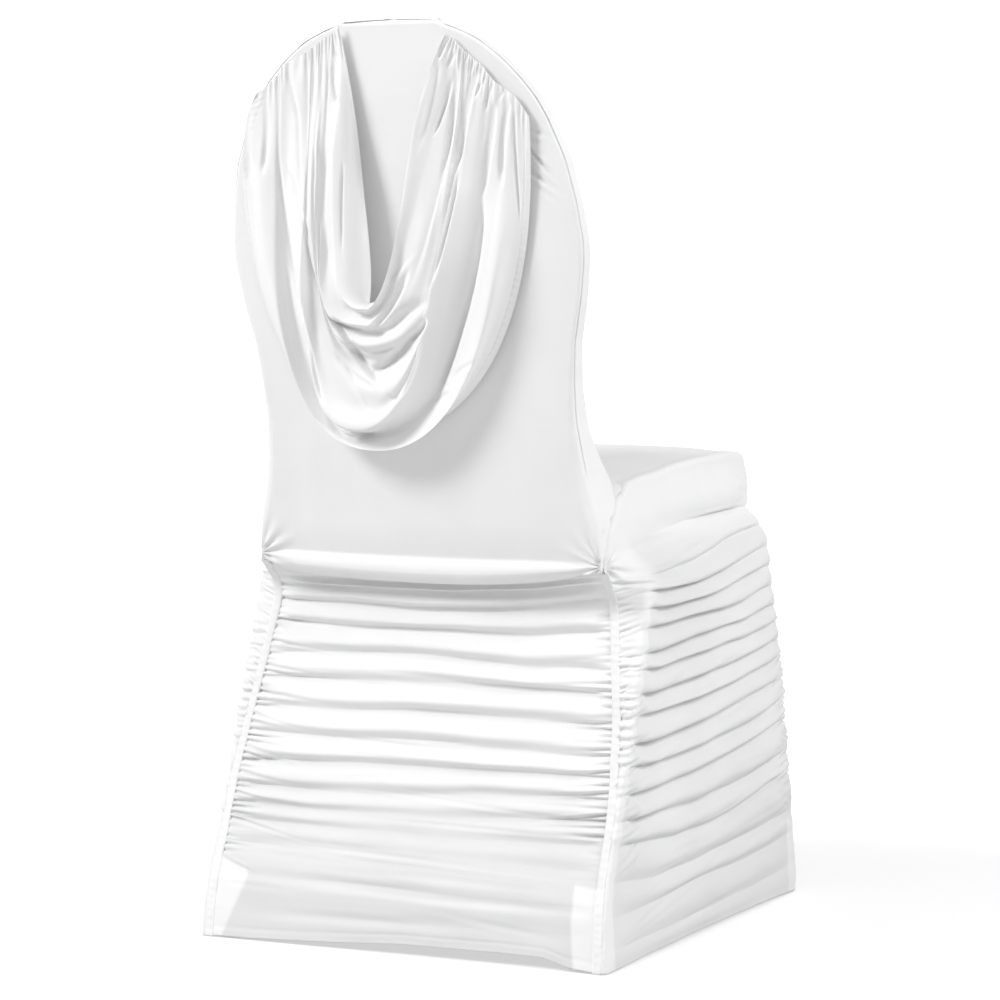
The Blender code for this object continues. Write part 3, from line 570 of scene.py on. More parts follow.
FRONT_TOP = 0.483
# Top edge of the rear skirt, higher at the knots. Columns: place across, height.
REAR_TOP = np.array([(0, 0.383), (0.1, 0.379), (0.3, 0.3765), (0.6, 0.377), (0.85, 0.382),
                     (1, 0.390)])
# How far the hems arch up between the feet. Columns: place across, height.
REAR_HEM = np.array([(0, 0), (0.1, 0.0005), (0.25, 0.003), (0.38, 0.006), (0.5, 0.0095),
                     (0.75, 0.0105), (0.87, 0.010), (0.935, 0.002), (1, 0)])
SIDE_HEM = np.array([(0, 0), (0.08, 0), (0.2, 0.002), (0.5, 0.003), (0.85, 0.002), (1, 0)])
FRONT_HEM = np.array([(0, 0), (0.1, 0.001), (0.3, 0.006), (0.7, 0.006), (0.9, 0.001), (1, 0)])
TURNED_HEM = 0.010       # depth of the hem that is turned up inside

# %% Rows of a gathered panel


def ruched(grooves, top, hem, s, fullness, crisp, sag, seed, per_puff):
    """Heights and outward swell of a gathered panel: rows down it, columns across.

    The place s is given for each groove, or once for all of them. Top, hem, fullness
    and crisp, from 0 for soft waves to 1 for sharp grooves, are given for each column.
    Sag is how far a puff hangs over the groove below it, as a share of its depth.
    """
    s = np.broadcast_to(s, (len(grooves) + 2, np.shape(s)[-1]))
    z_at = [top + 0 * s[0]] + [across(row[:5], p)[0] for row, p in zip(grooves, s[1:])]
    z_at = np.array(z_at + [hem + 0 * s[0]])
    depths = np.vstack([0.3 * grooves[0, 5:], grooves[:, 5:], np.zeros(3)])
    depth_at = np.array([across(row, p)[0] for row, p in zip(depths, s)])
    which = np.arange(len(z_at))[:, None]
    z_at[1:-1] += 0.0011 * drift(s[1:-1] * 9, which[1:-1] * 1.37, seed)
    depth_at = np.maximum(depth_at, 0) * 0.001 * (1 + 0.30 * drift(s * 6, which * 2.71, seed + 1))
    depth_at = depth_at * fullness
    steps = denser_ends(np.arange(per_puff) / per_puff, 0.6)
    heights, swells = [], []
    for k in range(len(z_at) - 1):
        gap = z_at[k] - z_at[k + 1]
        for t in steps:
            deep = depth_at[k] * (1 - t) + depth_at[k + 1] * t
            low = t ** 1.2
            puff = crisp * (1 - abs(2 * low - 1) ** 1.8)
            puff = puff + (1 - crisp) * (0.5 - 0.5 * np.cos(2 * np.pi * low))
            heights.append(z_at[k] - gap * t - sag * deep * puff)
            swells.append(deep * (puff - 0.5))
    heights.append(z_at[-1])
    swells.append(0 * s[-1])
    return np.array(heights), np.array(swells)


def seam_gathers(place, low, high, pitch, reach, slope, depth, seed):
    """Marks for the short pleats along a seam, with uneven pitch, reach and depth."""
    rng = np.random.RandomState(seed)
    marks, level = [], low
    while level < high:
        wide = rng.uniform(0.0012, 0.0019)
        marks.append((place, level, reach * rng.uniform(0.4, 1.5),
                      slope * rng.uniform(0.3, 1.6) + rng.uniform(-0.06, 0.06),
                      depth * rng.uniform(0.5, 1.3), wide))
        level += pitch * rng.uniform(0.7, 1.4)
    return marks


def long_creases(low, high, left, right, count, slope, depth, seed):
    """Marks for long shallow creases scattered over a panel."""
    rng = np.random.RandomState(seed)
    return [(rng.uniform(left, right), rng.uniform(low, high), rng.uniform(0.03, 0.11),
             slope + rng.uniform(-0.07, 0.07), depth * rng.uniform(0.4, 1.2),
             rng.uniform(0.0016, 0.0034)) for _ in range(count)]


def with_turned_hem(points, inward):
    """Adds rows that turn the hem under and up inside the panel."""
    edge = points[-1]
    extra = []
    for share, deep in ((0.08, 0.0012), (0.5, 0.0030), (1.0, 0.0050)):
        turned = edge + np.asarray(inward) * deep
        turned[:, 2] += TURNED_HEM * share
        extra.append(turned)
    return np.concatenate([points, np.array(extra)])


# %% [markdown]
# ### Rear and front skirts
#
# Both are the same kind of panel. Between its seams the panel swells out a little, and
# its edges run just under the elastic strips at the corners, so that no gap shows.

# %% Rear and front skirts
UNDER_STRIP = 0.0025     # how far a skirt runs on under the strip at its edge
# Where the pale foot patches end, left and right. Columns: z, distance from the middle.
LEFT_PATCH = np.array([(0.0, 0.205), (0.06, 0.179), (0.09, 0.178)])
RIGHT_PATCH = np.array([(0.0, 0.193), (0.04, 0.188), (0.09, 0.187)])


def end_skirt(strip, middle, grooves, top, hem, sign, seed, columns, per_puff, marks):
    """Rear or front skirt: sign +1 faces +Y. Its columns run from +X to -X."""
    u = np.cos(np.pi * np.linspace(0, 1, columns))
    u = 0.55 * u + 0.45 * np.linspace(1, -1, columns)
    s = (1 - u) / 2
    near_seam = 1 - np.abs(u)
    fullness = 0.08 + 1.37 * ease(near_seam / 0.12)
    crisp = 0.25 + 0.65 * bell(near_seam / 0.25)
    z, swell = ruched(grooves, top(s), lookup(hem, s), s, fullness, crisp, 0.22, seed, per_puff)
    z = z + HEM_LIFT
    x = u * (lookup(strip, z) - STRIP_WIDTH / 2 + UNDER_STRIP)
    edge = lookup(strip, z, 2)
    y = edge + (lookup(middle, z) - edge) * (1 - np.abs(u) ** 2.2) - sign * 0.0008
    swell = swell + creases(x, z, marks) * ease(near_seam / 0.018 + 0.1)
    swell = swell + 0.0006 * drift(x * 24 + 9, z * 60, seed + 5)
    swell = swell - STITCH_DEPTH * bell((z - lookup(hem, s) - 0.0105) / STITCH_WIDTH)
    return with_turned_hem(np.stack([x, y + sign * swell, z], -1), (0, -sign, 0))


def rear_tone(points):
    """Darker towards the hem from a height of 0.22 down, and whiter where the foot pockets
    lie behind the cloth.
    """
    x, z = points[..., 0], points[..., 2]
    shade = 1 - 0.75 * ease((0.22 - z) / 0.10)
    for side, table, lean in ((1, LEFT_PATCH, 0.32), (-1, RIGHT_PATCH, -0.10)):
        top = 0.084 + lean * (side * x - 0.215)
        patch = ease((top - z) / PATCH_EDGE) * ease((side * x - lookup(table, z)) / PATCH_EDGE)
        shade = np.maximum(shade, 1.45 * patch)
    return shade


rear_marks = (seam_gathers(0.207, 0.120, 0.372, 0.0068, 0.034, 0.10, 0.0036, 31)
              + seam_gathers(-0.207, 0.130, 0.372, 0.0068, 0.034, -0.06, 0.0036, 32)
              + seam_gathers(0.216, 0.088, 0.125, 0.0085, 0.016, 0.05, 0.0016, 33)
              + seam_gathers(-0.216, 0.088, 0.135, 0.0100, 0.014, 0.0, 0.0012, 34)
              + long_creases(0.15, 0.35, -0.16, 0.16, 30, 0.01, 0.0010, 35)
              + long_creases(0.03, 0.14, -0.17, 0.17, 14, 0.06, 0.0006, 36)
              + [(0.0, 0.0915, 0.12, 0.043, -0.0009, 0.0016),
                 (0.0, 0.0630, 0.15, 0.025, 0.0018, 0.0050),
                 (0.04, 0.0310, 0.10, -0.02, 0.0010, 0.0040),
                 (0.197, 0.0785, 0.018, 0.32, -0.0010, 0.0012)])
rear = end_skirt(REAR_STRIP, REAR_MIDDLE, REAR_GROOVES, lambda s: lookup(REAR_TOP, s),
                 REAR_HEM, 1, 41, 150, 20, rear_marks)
skirt_rear = cloth("rear_skirt", rear, (0, 1, 0), rear_tone(rear))
sewn(skirt_rear, "skirt_rear", white_knit)

front_marks = (seam_gathers(0.205, 0.10, 0.42, 0.010, 0.022, 0.08, 0.0020, 51)
               + seam_gathers(-0.205, 0.10, 0.42, 0.010, 0.022, -0.08, 0.0020, 52)
               + long_creases(0.12, 0.42, -0.16, 0.16, 26, 0.0, 0.0011, 53))
front = end_skirt(FRONT_STRIP, FRONT_MIDDLE, FRONT_GROOVES, lambda s: FRONT_TOP + 0 * s,
                  FRONT_HEM, -1, 61, 110, 13, front_marks)
front_shade = 1 - 0.62 * ease((0.22 - front[..., 2]) / 0.10)
skirt_front = cloth("front_skirt", front, (0, -1, 0), front_shade)
sewn(skirt_front, "skirt_front", white_knit)

# %% [markdown]
# ### Side skirts
#
# The side skirts also cover the sides of the seat, so they start at the seat's edge.
# Their grooves rise towards the front, where a tuck runs round under the seat. At the
# rear knot, where the back, the seat and two skirts meet, small folds fan out.

# %% Side skirts
KNOT_X, KNOT_Y, KNOT_Z = 0.196, 0.186, 0.396
EDGE_ROUND = 0.006       # round of the cloth over the seat's edge
# A side skirt's way round the chair has six key places: the rear strip, before and
# after the rear corner, before and after the front corner, the front strip.
# Columns: place, y of the top edge, fullness of the ruching.
WAY = np.array([(0, 0.187, 0.15), (0.5, 0.1626, 0.35), (0.9, 0.143, 0.30), (2, 0.118, 0.45),
                (2.08, 0.0943, 2.40), (2.5, -0.030, 2.20), (2.92, -0.1634, 1.80),
                (3, -0.175, 0.45), (4, -0.182, 0.40), (5, -0.184, 0.15)])
# Share of a side skirt's width in front of its rear corner. Columns: z, share.
SIDE_BEND = np.array([(0.0, 0.02), (0.12, 0.025), (0.24, 0.08), (0.345, 0.17), (0.38, 0.21)])


def way_round(z, q):
    """Half width and y of a side skirt at its heights z and its columns' places q."""
    def line(table):
        return np.stack([lookup(table, z), lookup(table, z, 2)], -1)

    def short_of(corner, end):
        way = end - corner
        size = np.linalg.norm(way, axis=-1, keepdims=True)
        return corner + way * np.minimum(CORNER_ROUND / size, 0.6)

    beside = np.array([STRIP_WIDTH / 2 - UNDER_STRIP, 0.0])
    rear, front = line(REAR_STRIP) + beside, line(FRONT_STRIP) + beside
    bend1, bend2 = line(REAR_CORNER), line(FRONT_CORNER)
    keys = [rear, short_of(bend1, rear), short_of(bend1, bend2), short_of(bend2, bend1),
            short_of(bend2, front), front]
    stretch = np.clip(np.floor(q).astype(int), 0, 4)
    f = (q - stretch)[None, :, None]
    place = 0
    for k in range(5):
        a, b = keys[k], keys[k + 1]
        if k in (1, 3):
            bend = bend1 if k == 1 else bend2
            here = a * (1 - f) ** 2 + 2 * bend * f * (1 - f) + b * f ** 2
        else:
            here = a * (1 - f) + b * f
        place = place + here * (stretch == k)[None, :, None]
    return place[..., 0], place[..., 1]


def side_skirt(side, seed, columns, per_puff, marks):
    counts = (int(columns * 0.13), 8, int(columns * 0.72), 8, int(columns * 0.10))
    q = np.concatenate([k + np.arange(n) / n for k, n in enumerate(counts)] + [[5.0]])
    middle = np.clip(q, 2, 3) - 2
    q = np.where((q > 2) & (q < 3), 2 + denser_ends(middle, 0.4), q)
    nominal = np.concatenate([[0.47], SIDE_GROOVES[:, 2], [0.0]])
    bend = lookup(SIDE_BEND, nominal)[:, None]
    s = np.where(q < 1, 0.9 * bend * q, np.where(q < 2, bend * (0.9 + 0.2 * (q - 1)),
                 1.1 * bend + (1 - 1.1 * bend) * np.clip(q - 2, 0, 1)))
    top = lookup(SEAT_EDGE, lookup(WAY, q, rounding=0.1), rounding=0.003) - EDGE_ROUND
    fullness = lookup(WAY, q, 2, rounding=0.02)
    crisp = 0.80 + 0.15 * bell((q - 2) / 0.15)
    z, swell = ruched(SIDE_GROOVES, top, lookup(SIDE_HEM, s[-1]), s, fullness, crisp, 0.42,
                      seed, per_puff)
    z = z + HEM_LIFT
    x, y = way_round(z, q)
    along = q[None, :] + 0 * z
    out_x, out_y = -np.gradient(y, axis=1), np.gradient(x, axis=1)
    size = np.hypot(out_x, out_y)
    out_x, out_y = out_x / size, out_y / size
    swell = swell + creases(y, z, marks) * ease(np.minimum(along, 5 - along) / 0.3 + 0.3)
    uneven = np.random.RandomState(seed + 6)
    wedges = [(0.3, level + uneven.uniform(-0.002, 0.002), uneven.uniform(0.4, 1.0), 0.008,
               uneven.uniform(0.0006, 0.0016), 0.0013) for level in np.arange(0.11, 0.37, 0.0068)]
    swell = swell + creases(along, z, wedges) * ease((1.4 - along) / 0.5)
    swell = swell + 0.0006 * drift(y * 24 + 3, z * 60, seed + 5)
    away_y, away_z = KNOT_Y - y, z - KNOT_Z
    far = np.hypot(away_y, away_z)
    fan = np.cos(15 * np.arctan2(away_z, away_y) + 0.6) * bell(far / 0.034)
    dimple = bell(far / 0.009)
    swell = swell + (0.0027 * fan * ease(far / 0.012) - 0.003 * dimple) * (y > 0)
    x, y = x + swell * out_x, y + swell * out_y
    near_back = ease((2.25 - along) / 0.3) * ease((z - 0.385) / 0.035)
    leaning = np.minimum(x, lookup(BACK_OUTLINE, z) + 0.0032)
    x = x + (leaning - x) * near_back
    points = np.stack([side * x, y, z], -1)
    inward = np.stack([-side * out_x[0], -out_y[0], 0 * x[0]], -1)
    over = [points[0] + EDGE_ROUND * ((1 - math.cos(a)) * inward + (0, 0, math.sin(a)))
            for a in np.radians((90, 67, 45, 22))]
    flange = [over[0] + inward * deep for deep in (0.008, 0.004)]
    points = np.concatenate([np.array(flange + over), points])
    under = np.stack([-side * out_x[-1], -out_y[-1], 0 * x[-1]], -1)
    return with_turned_hem(points, under)


def side_backing_and_painted_shade(points, seed):
    """Greyer in general, partly as knit over empty space and partly as painted shade;
    whiter over the seat, the rear leg, the knot and the foot pockets.
    """
    x, y, z = np.abs(points[..., 0]), points[..., 1], points[..., 2]
    over_seat = ease((z - 0.38) / 0.055)
    corner = lookup(REAR_CORNER, z, 2)
    over_leg = ease((y - corner + 0.012) / 0.004) * (y > 0)
    low = ease((PATCH_TOP - z) / PATCH_EDGE)
    pockets = low * ease((np.abs(y) - 0.232) / 0.004)
    over_leg = over_leg * ease((0.374 - z) / 0.02)
    by_knot = ease((z - 0.345) / 0.025) * ease((y - 0.085) / 0.06)
    # The grey of 0.42 is partly knit over empty space and partly painted shade: it keeps the side
    # skirts darker than the rear skirt, which hangs over the same empty space.
    return np.maximum.reduce([0.42 + 0.1 * drift(y * 9, z * 9, seed), over_seat, over_leg, by_knot,
                              1.1 * pockets])


# Tucks under the seat's edge. Columns: y, z, reach, slope, depth, half width.
SEAT_TUCKS = [(-0.105, 0.4305, 0.085, -0.035, 0.0045, 0.0017),
              (0.150, 0.3765, 0.075, 0.050, 0.0030, 0.0018),
              (0.060, 0.4135, 0.090, -0.045, 0.0030, 0.0038),
              (0.120, 0.3880, 0.070, -0.020, 0.0025, 0.0036),
              (0.000, 0.4020, 0.080, -0.140, 0.0028, 0.0036),
              (-0.155, 0.4520, 0.030, 0.160, 0.0016, 0.0022),
              (-0.165, 0.4620, 0.022, 0.220, 0.0013, 0.0018)]
for side, label, seed in ((-1, "right", 71), (1, "left", 81)):
    marks = (SEAT_TUCKS + seam_gathers(0.185, 0.10, 0.375, 0.0080, 0.024, -0.20, 0.0024, seed)
             + seam_gathers(-0.228, 0.10, 0.40, 0.0080, 0.026, -0.30, 0.0028, seed + 1)
             + seam_gathers(-0.190, 0.445, 0.49, 0.0075, 0.010, 0.10, 0.0013, seed + 2)
             + long_creases(0.08, 0.38, -0.22, 0.15, 34, -0.09, 0.0013, seed + 3)
             + long_creases(0.02, 0.09, -0.22, 0.15, 10, -0.12, 0.0007, seed + 4))
    panel = side_skirt(side, seed + 5, 160 if side < 0 else 130, 17, marks)
    piece = cloth(label + "_skirt", panel, (side, 0, 0), side_backing_and_painted_shade(panel, seed))
    sewn(piece, "skirt_" + label, white_knit)

# %% [markdown]
# ### Elastic strips and foot pockets
#
# A narrow smooth strip covers each corner seam. It is stitched down while stretched,
# which leaves a faint ripple along it. Inside each corner a small cup of doubled cloth
# catches the chair's foot and holds the hem down.

# %% Elastic strips
# Across a strip, from one turned-in edge to the other. Columns: place, height.
STRIP_SHAPE = np.array([(-1.04, -0.0016), (-1, -0.0008), (-0.93, -0.0002), (-0.7, 0.0001),
                        (0, 0.0002), (0.7, 0.0001), (0.93, -0.0002), (1, -0.0008),
                        (1.04, -0.0016)])
for side, label in ((1, "left"), (-1, "right")):
    for table, sign, end, top in ((REAR_STRIP, 1, "rear", 0.388),
                                  (FRONT_STRIP, -1, "front", 0.480)):
        z = np.linspace(0.0008, top, 200)[:, None]
        place, rise = STRIP_SHAPE[None, :, 0], STRIP_SHAPE[None, :, 1]
        flat_part = ease((1 - np.abs(place)) / 0.1)
        ripple = 0.00022 * np.sin(z * 2 * np.pi / 0.0085 + 2 * drift(z * 40, 0, 91))
        ripple = ripple + 0.0003 * drift(z * 90, place * 2, 92 + sign)
        x = lookup(table, z) + place * STRIP_WIDTH / 2 + 0.0003 * drift(z * 70, place, 95)
        y = lookup(table, z, 2) + sign * (0.0006 + rise + ripple * flat_part)
        strip = np.stack([side * x, y, z + 0 * place], -1)
        name = "seam_band_" + end + "_" + label
        piece = cloth(end + "_" + label + "_strip", strip, (0, sign, 0),
                      1 + 0.45 * ease((PATCH_TOP - z) / PATCH_EDGE))
        sewn(piece, name, white_knit)

# %% Foot pockets
POCKET_INSET = 0.0058
for side, label in ((1, "left"), (-1, "right")):
    for corner, sign, end in ((REAR_CORNER, 1, "rear"), (FRONT_CORNER, -1, "front")):
        levels = np.array([0.084, 0.072, 0.060, 0.048, 0.036, 0.024, 0.014, 0.007, 0.0035])
        corner_x = lookup(corner, levels) - POCKET_INSET
        corner_y = lookup(corner, levels, 2) - sign * POCKET_INSET
        # Columns: how far in from the corner along X, and along Y.
        plan = np.array([(0.040, 0.0015), (0.030, 0.0010), (0.020, 0.0005), (0.012, 0.0001),
                         (0.006, 0.0), (0.0032, 0.0006), (0.0014, 0.0020), (0.0004, 0.0038),
                         (0.0, 0.006), (0.0001, 0.011), (0.0003, 0.016), (0.0005, 0.022),
                         (0.0006, 0.029)])
        wall = np.stack([side * (corner_x[:, None] - plan[None, :, 0]),
                         corner_y[:, None] - sign * plan[None, :, 1],
                         levels[:, None] + 0 * plan[None, :, 0]], -1)
        middle = wall[-1].mean(0) + (-side * 0.010, -sign * 0.006, 0)
        floor_rows = [middle + (wall[-1] - middle) * share for share in (0.93, 0.75, 0.5, 0.25)]
        for ring in floor_rows:
            ring[:, 2] = HEM_LIFT
        cup = np.concatenate([wall, np.array(floor_rows)])
        piece = cloth(end + "_" + label + "_pocket", cup, (side, sign, -0.5))
        sewn(piece, "foot_pocket_" + end + "_" + label, pocket_knit)

# %% [markdown]
# ## Back and seat
#
# The back's rear panel is pulled smooth over the padded chair. Below, it ends in one
# puffed roll between the two knots, where it joins the gathered skirt. The inner panel
# and the strip between them are plain, and widen into a web at the seat.

# %% Rear panel of the back
# The roll at the hips, from above its crease to where it tucks under. Columns: z, swell.
ROLL = np.array([
    (0.3750, -7.0), (0.3775, -3.0), (0.3810, 0.6), (0.3850, 2.9), (0.3900, 2.8),
    (0.3950, 1.4), (0.3985, -1.6), (0.4012, -3.4), (0.4060, -2.5), (0.4140, -1.2),
    (0.4220, -0.4), (0.4300, 0.0)])
# Round of the back's edges, small above and larger at the web. Columns: z, radius.
BACK_ROUND = np.array([(0.40, 0.004), (0.44, 0.011), (0.50, 0.010), (0.56, 0.005),
                       (0.62, 0.003), (0.94, 0.003)])
TAIL = 0.006             # how far a turned edge runs on under the strip beside it
STRIP_CLEAR = 0.0012     # from the strip round the back in to the panels' edges


def inset_row(z, inset):
    """Half width and height of the outline, moved in by `inset` square to itself."""
    step = 0.002
    slope = (lookup(BACK_OUTLINE, z + step) - lookup(BACK_OUTLINE, z - step)) / (2 * step)
    slope = slope * ease((z - 0.43) / 0.04)
    size = np.hypot(1, slope)
    return lookup(BACK_OUTLINE, z) - inset / size, z + inset * slope / size


def back_panel(rise, columns, radius):
    """Grid of a back panel: half width, height, depth under its face, share across.

    Its last columns turn round the edge and run on inward, and so do its first rows.
    """
    turn = np.radians((22, 45, 67, 90))
    u = np.linspace(1, -1, columns)
    u = 0.6 * np.sin(u * math.pi / 2) + 0.4 * u
    sines = np.concatenate([[1, 1], np.sin(turn)[::-1], 0 * u, np.sin(turn), [1, 1]])
    drops = np.concatenate([[1, 1], 1 - np.cos(turn)[::-1], 0 * u, 1 - np.cos(turn), [1, 1]])
    tails = np.concatenate([[1, 0.5], 0 * turn, 0 * u, 0 * turn, [0.5, 1]]) * TAIL
    share = np.concatenate([[1] * 6, u, [-1] * 6])
    r = radius(rise)[:, None]
    x, z = inset_row(rise[:, None], STRIP_CLEAR + r * (1 - sines[None, :]))
    x = x * share[None, :]
    deep = r * drops[None, :] + tails[None, :]
    top_r = radius(rise[0])
    top_turn = [(turn[3], TAIL)] + [(a, 0) for a in turn[::-1]]
    over = [(x[0], z[0] + top_r * math.sin(a), deep[0] + top_r * (1 - math.cos(a)) + tail)
            for a, tail in top_turn]
    over = np.array(over).transpose(1, 0, 2)
    x, z, deep = (np.concatenate(pair) for pair in zip(over, (x, z, deep)))
    return x, z, deep, share[None, :]


rise = np.concatenate([0.9365 - 0.04 * np.linspace(0, 1, 20)[:-1] ** 1.6,
                       np.linspace(0.8965, 0.425, 110), np.linspace(0.4235, 0.3745, 56)])
x, z, deep, share = back_panel(rise, 124, lambda z: lookup(BACK_ROUND, z))
# Towards the knots the roll is pinched: its rows draw together and lie flatter.
from_side = (1 - np.abs(share)) * 0.195
pinch = bell(from_side / np.where(share > 0, 0.019, 0.027))
swell = lookup(ROLL, z, rounding=0.0012) * 0.001 * (1 - pinch) * (z < 0.43)
hips = ease((0.425 - z) / 0.02)
z = z + (KNOT_Z - 0.003 - z) * 0.80 * pinch * hips - 0.0035 * (1 - share ** 2) * hips
lift = 0.005 * np.maximum(share, 0) ** 2 + 0.012 * np.maximum(-share, 0) ** 2.2
z = z + lift * (1 - pinch) * ease((0.400 - z) / 0.022)
y = back_y(z) - deep * (1 - 0.5 * hips) + swell
fan_far = np.hypot(np.abs(x) - KNOT_X, z - KNOT_Z)
fan = np.cos(13 * np.arctan2(z - KNOT_Z, KNOT_X - np.abs(x)) + 0.9)
fan = fan * bell(fan_far / 0.030)
# Short wrinkles below the drape's right corner.
side_marks = ((-0.156, 0.826, 0.012, 0.30, 0.0022, 0.0017),
              (-0.153, 0.817, 0.010, 0.25, 0.0015, 0.0015),
              (-0.156, 0.799, 0.015, 1.05, 0.0034, 0.0022),
              (-0.156, 0.782, 0.016, 0.65, 0.0026, 0.0022),
              (-0.160, 0.768, 0.012, 0.70, 0.0012, 0.0022))
y = y + creases(x, z, side_marks) + 0.0024 * fan * ease(fan_far / 0.008)
y = y + 0.0012 * drift(x * 9 + z * 5 + 4, z * 7, 101) + 0.0004 * drift(x * 40, z * 14, 102)
# Towards the top of the back the cloth is made whiter: painted light.
back_piece = cloth("back_rear_panel", np.stack([x, y, z], -1), (0, 1, 0),
                   1 + 0.18 * ease((z - 0.50) / 0.2))
sewn(back_piece, "back_outer", white_knit)

# %% Inner panel of the back
rise = np.concatenate([0.9365 - 0.04 * np.linspace(0, 1, 16)[:-1] ** 1.6,
                       np.linspace(0.8965, 0.470, 64)])
x, z, deep, share = back_panel(rise, 56, lambda z: 0.003 + 0 * z)
z = z + 0.010 * (1 - share ** 2) * ease((0.50 - z) / 0.018)
y = back_y(z) - lookup(BACK_DEPTH, z) + deep + 0.0012 * drift(x * 8, z * 7, 103)
inner_piece = cloth("back_inner_panel", np.stack([x, y, z], -1), (0, -1, 0))
sewn(inner_piece, "back_inner", white_knit)

# %% [markdown]
# The strip between the two panels follows the outline from one hip over the top to the
# other. Its long edges lie over the panels' turned edges, and that small step is what
# draws the double seam line along the top of the back.

# %% Strip round the back
dome_z, dome_half = BACK_OUTLINE[-1]
crown_z = HEIGHT - 0.001
climb = np.concatenate([np.linspace(0.400, 0.90, 115), np.linspace(0.903, dome_z, 26)])
top_x = np.linspace(dome_half, 0.0, 12)[1:]
top_z = crown_z - (crown_z - dome_z) * (top_x / dome_half) ** 2
half_x = np.concatenate([lookup(BACK_OUTLINE, climb, rounding=0.002), top_x])
half_z = np.concatenate([climb, top_z])
path_x = np.concatenate([half_x, -half_x[-2::-1]])[:, None]
path_z = np.concatenate([half_z, half_z[-2::-1]])[:, None]
w = np.array([0.0, 0.02, 0.06, 0.15, 0.35, 0.65, 0.85, 0.94, 0.98, 1.0])[None, :]
y0 = back_y(path_z) - 0.92 * lookup(BACK_ROUND, path_z)
y1 = back_y(path_z) - lookup(BACK_DEPTH, path_z) + 0.0028
y = y0 + (y1 - y0) * w
run = np.minimum(np.arange(len(path_x)), np.arange(len(path_x))[::-1])[:, None]
under_side = lookup(SEAT_EDGE, y, rounding=0.003) - 0.008
z = path_z + np.maximum(under_side - path_z, 0) * (1 - ease((run - 20) / 10))
x = np.where(run < 60, np.sign(path_x) * lookup(BACK_OUTLINE, z, rounding=0.002), path_x)
x = x - np.sign(x) * 0.0012 * ease((0.50 - z) / 0.03)
slope = np.gradient(np.abs(path_x[:, 0])) / np.maximum(np.hypot(
    np.gradient(path_x[:, 0]), np.gradient(path_z[:, 0])), 1e-9)
tuck = 0.0009 * (bell(w / 0.02) + bell((1 - w) / 0.02))
x = x - np.sign(path_x) * tuck * (1 - np.abs(slope[:, None]))
z = z - tuck * np.abs(slope[:, None])
strip_piece = cloth("back_edge_strip", np.stack([x, y, z], -1), (0, 0, 1))
sewn(strip_piece, "back_boxing", white_knit)

# %% Seat
u = np.sin(np.linspace(1, -1, 70) * math.pi / 2)
y_line = np.concatenate([np.linspace(0.140, -0.17, 60), np.linspace(-0.172, -0.180, 8)])
y = y_line[:, None] + 0 * u[None, :]
half = 0.1940 - 0.0085 * ease((y - 0.05) / 0.07)
crown = 0.007 * (1 - np.abs(u)[None, :] ** 3) * np.clip((y + 0.21) / 0.06, 0.3, 1)
z = lookup(SEAT_EDGE, y) + crown - 0.0005 - 0.004 * np.abs(u)[None, :] ** 30
z = z - 0.004 * ease((-0.172 - y) / 0.008) + 0.0006 * drift(y * 20, u[None, :] * 4, 104)
seat_piece = cloth("seat_top", np.stack([half * u[None, :], y, z], -1), (0, 0, 1))
sewn(seat_piece, "seat_panel", white_knit)

# %% [markdown]
# ## The drape
#
# The cowl drape is one piece of cloth that hangs from both shoulders. Every fold line
# is a curve from the left shoulder down to a low point and up to the right shoulder,
# like a slack rope. Each is given by its three points and by handles that say how it
# leaves them. A valley lies between each two lines, and the cloth is a smooth surface
# through all of them in order, from the turned facing of the neckline to the hem.

# %% Fold lines of the drape
# Columns: left shoulder x, z, handle lean, handle drop, low handle width; low point
# x, z; right low handle width, drop, lean, right shoulder x, z; stand-off at the sides
# and at the low point; dip of the valley after the line, at the sides and low. The
# handles were fitted to points read along each fold in the photograph.
SWAG_LINES = np.array([
    (.051, .936, -.038, .235, .004, .031, .658, -.038, .056, .041, -.067, .922,
     .018, .022, .000, .000),
    (.053, .929, -.020, .097, .070, .033, .651, -.039, .073, .051, -.073, .919,
     .025, .036, .003, .012),
    (.061, .925, .025, .275, .078, .030, .635, .000, .240, .030, -.081, .911,
     .024, .034, .000, .015),
    (.071, .920, .015, .189, .076, .036, .615, -.080, .211, .036, -.087, .905,
     .023, .031, .000, .016),
    (.080, .914, .023, .213, .089, .014, .574, -.026, .250, .048, -.094, .899,
     .024, .036, .004, .003),
    (.090, .908, .021, .307, .078, .038, .531, -.057, .218, .062, -.104, .891,
     .032, .048, .000, .000),
    (.117, .896, .042, .330, .045, .044, .524, -.100, .191, .028, -.116, .876,
     .011, .016, .000, .000),
    (.129, .883, .037, .317, .081, .029, .509, -.092, .217, .017, -.138, .860,
     .024, .033, .000, .000),
    (.153, .869, .046, .049, .147, .035, .522, -.030, .295, .002, -.152, .840,
     .0055, .007, .000, .000)])
SHOULDER_OFF = 0.0046


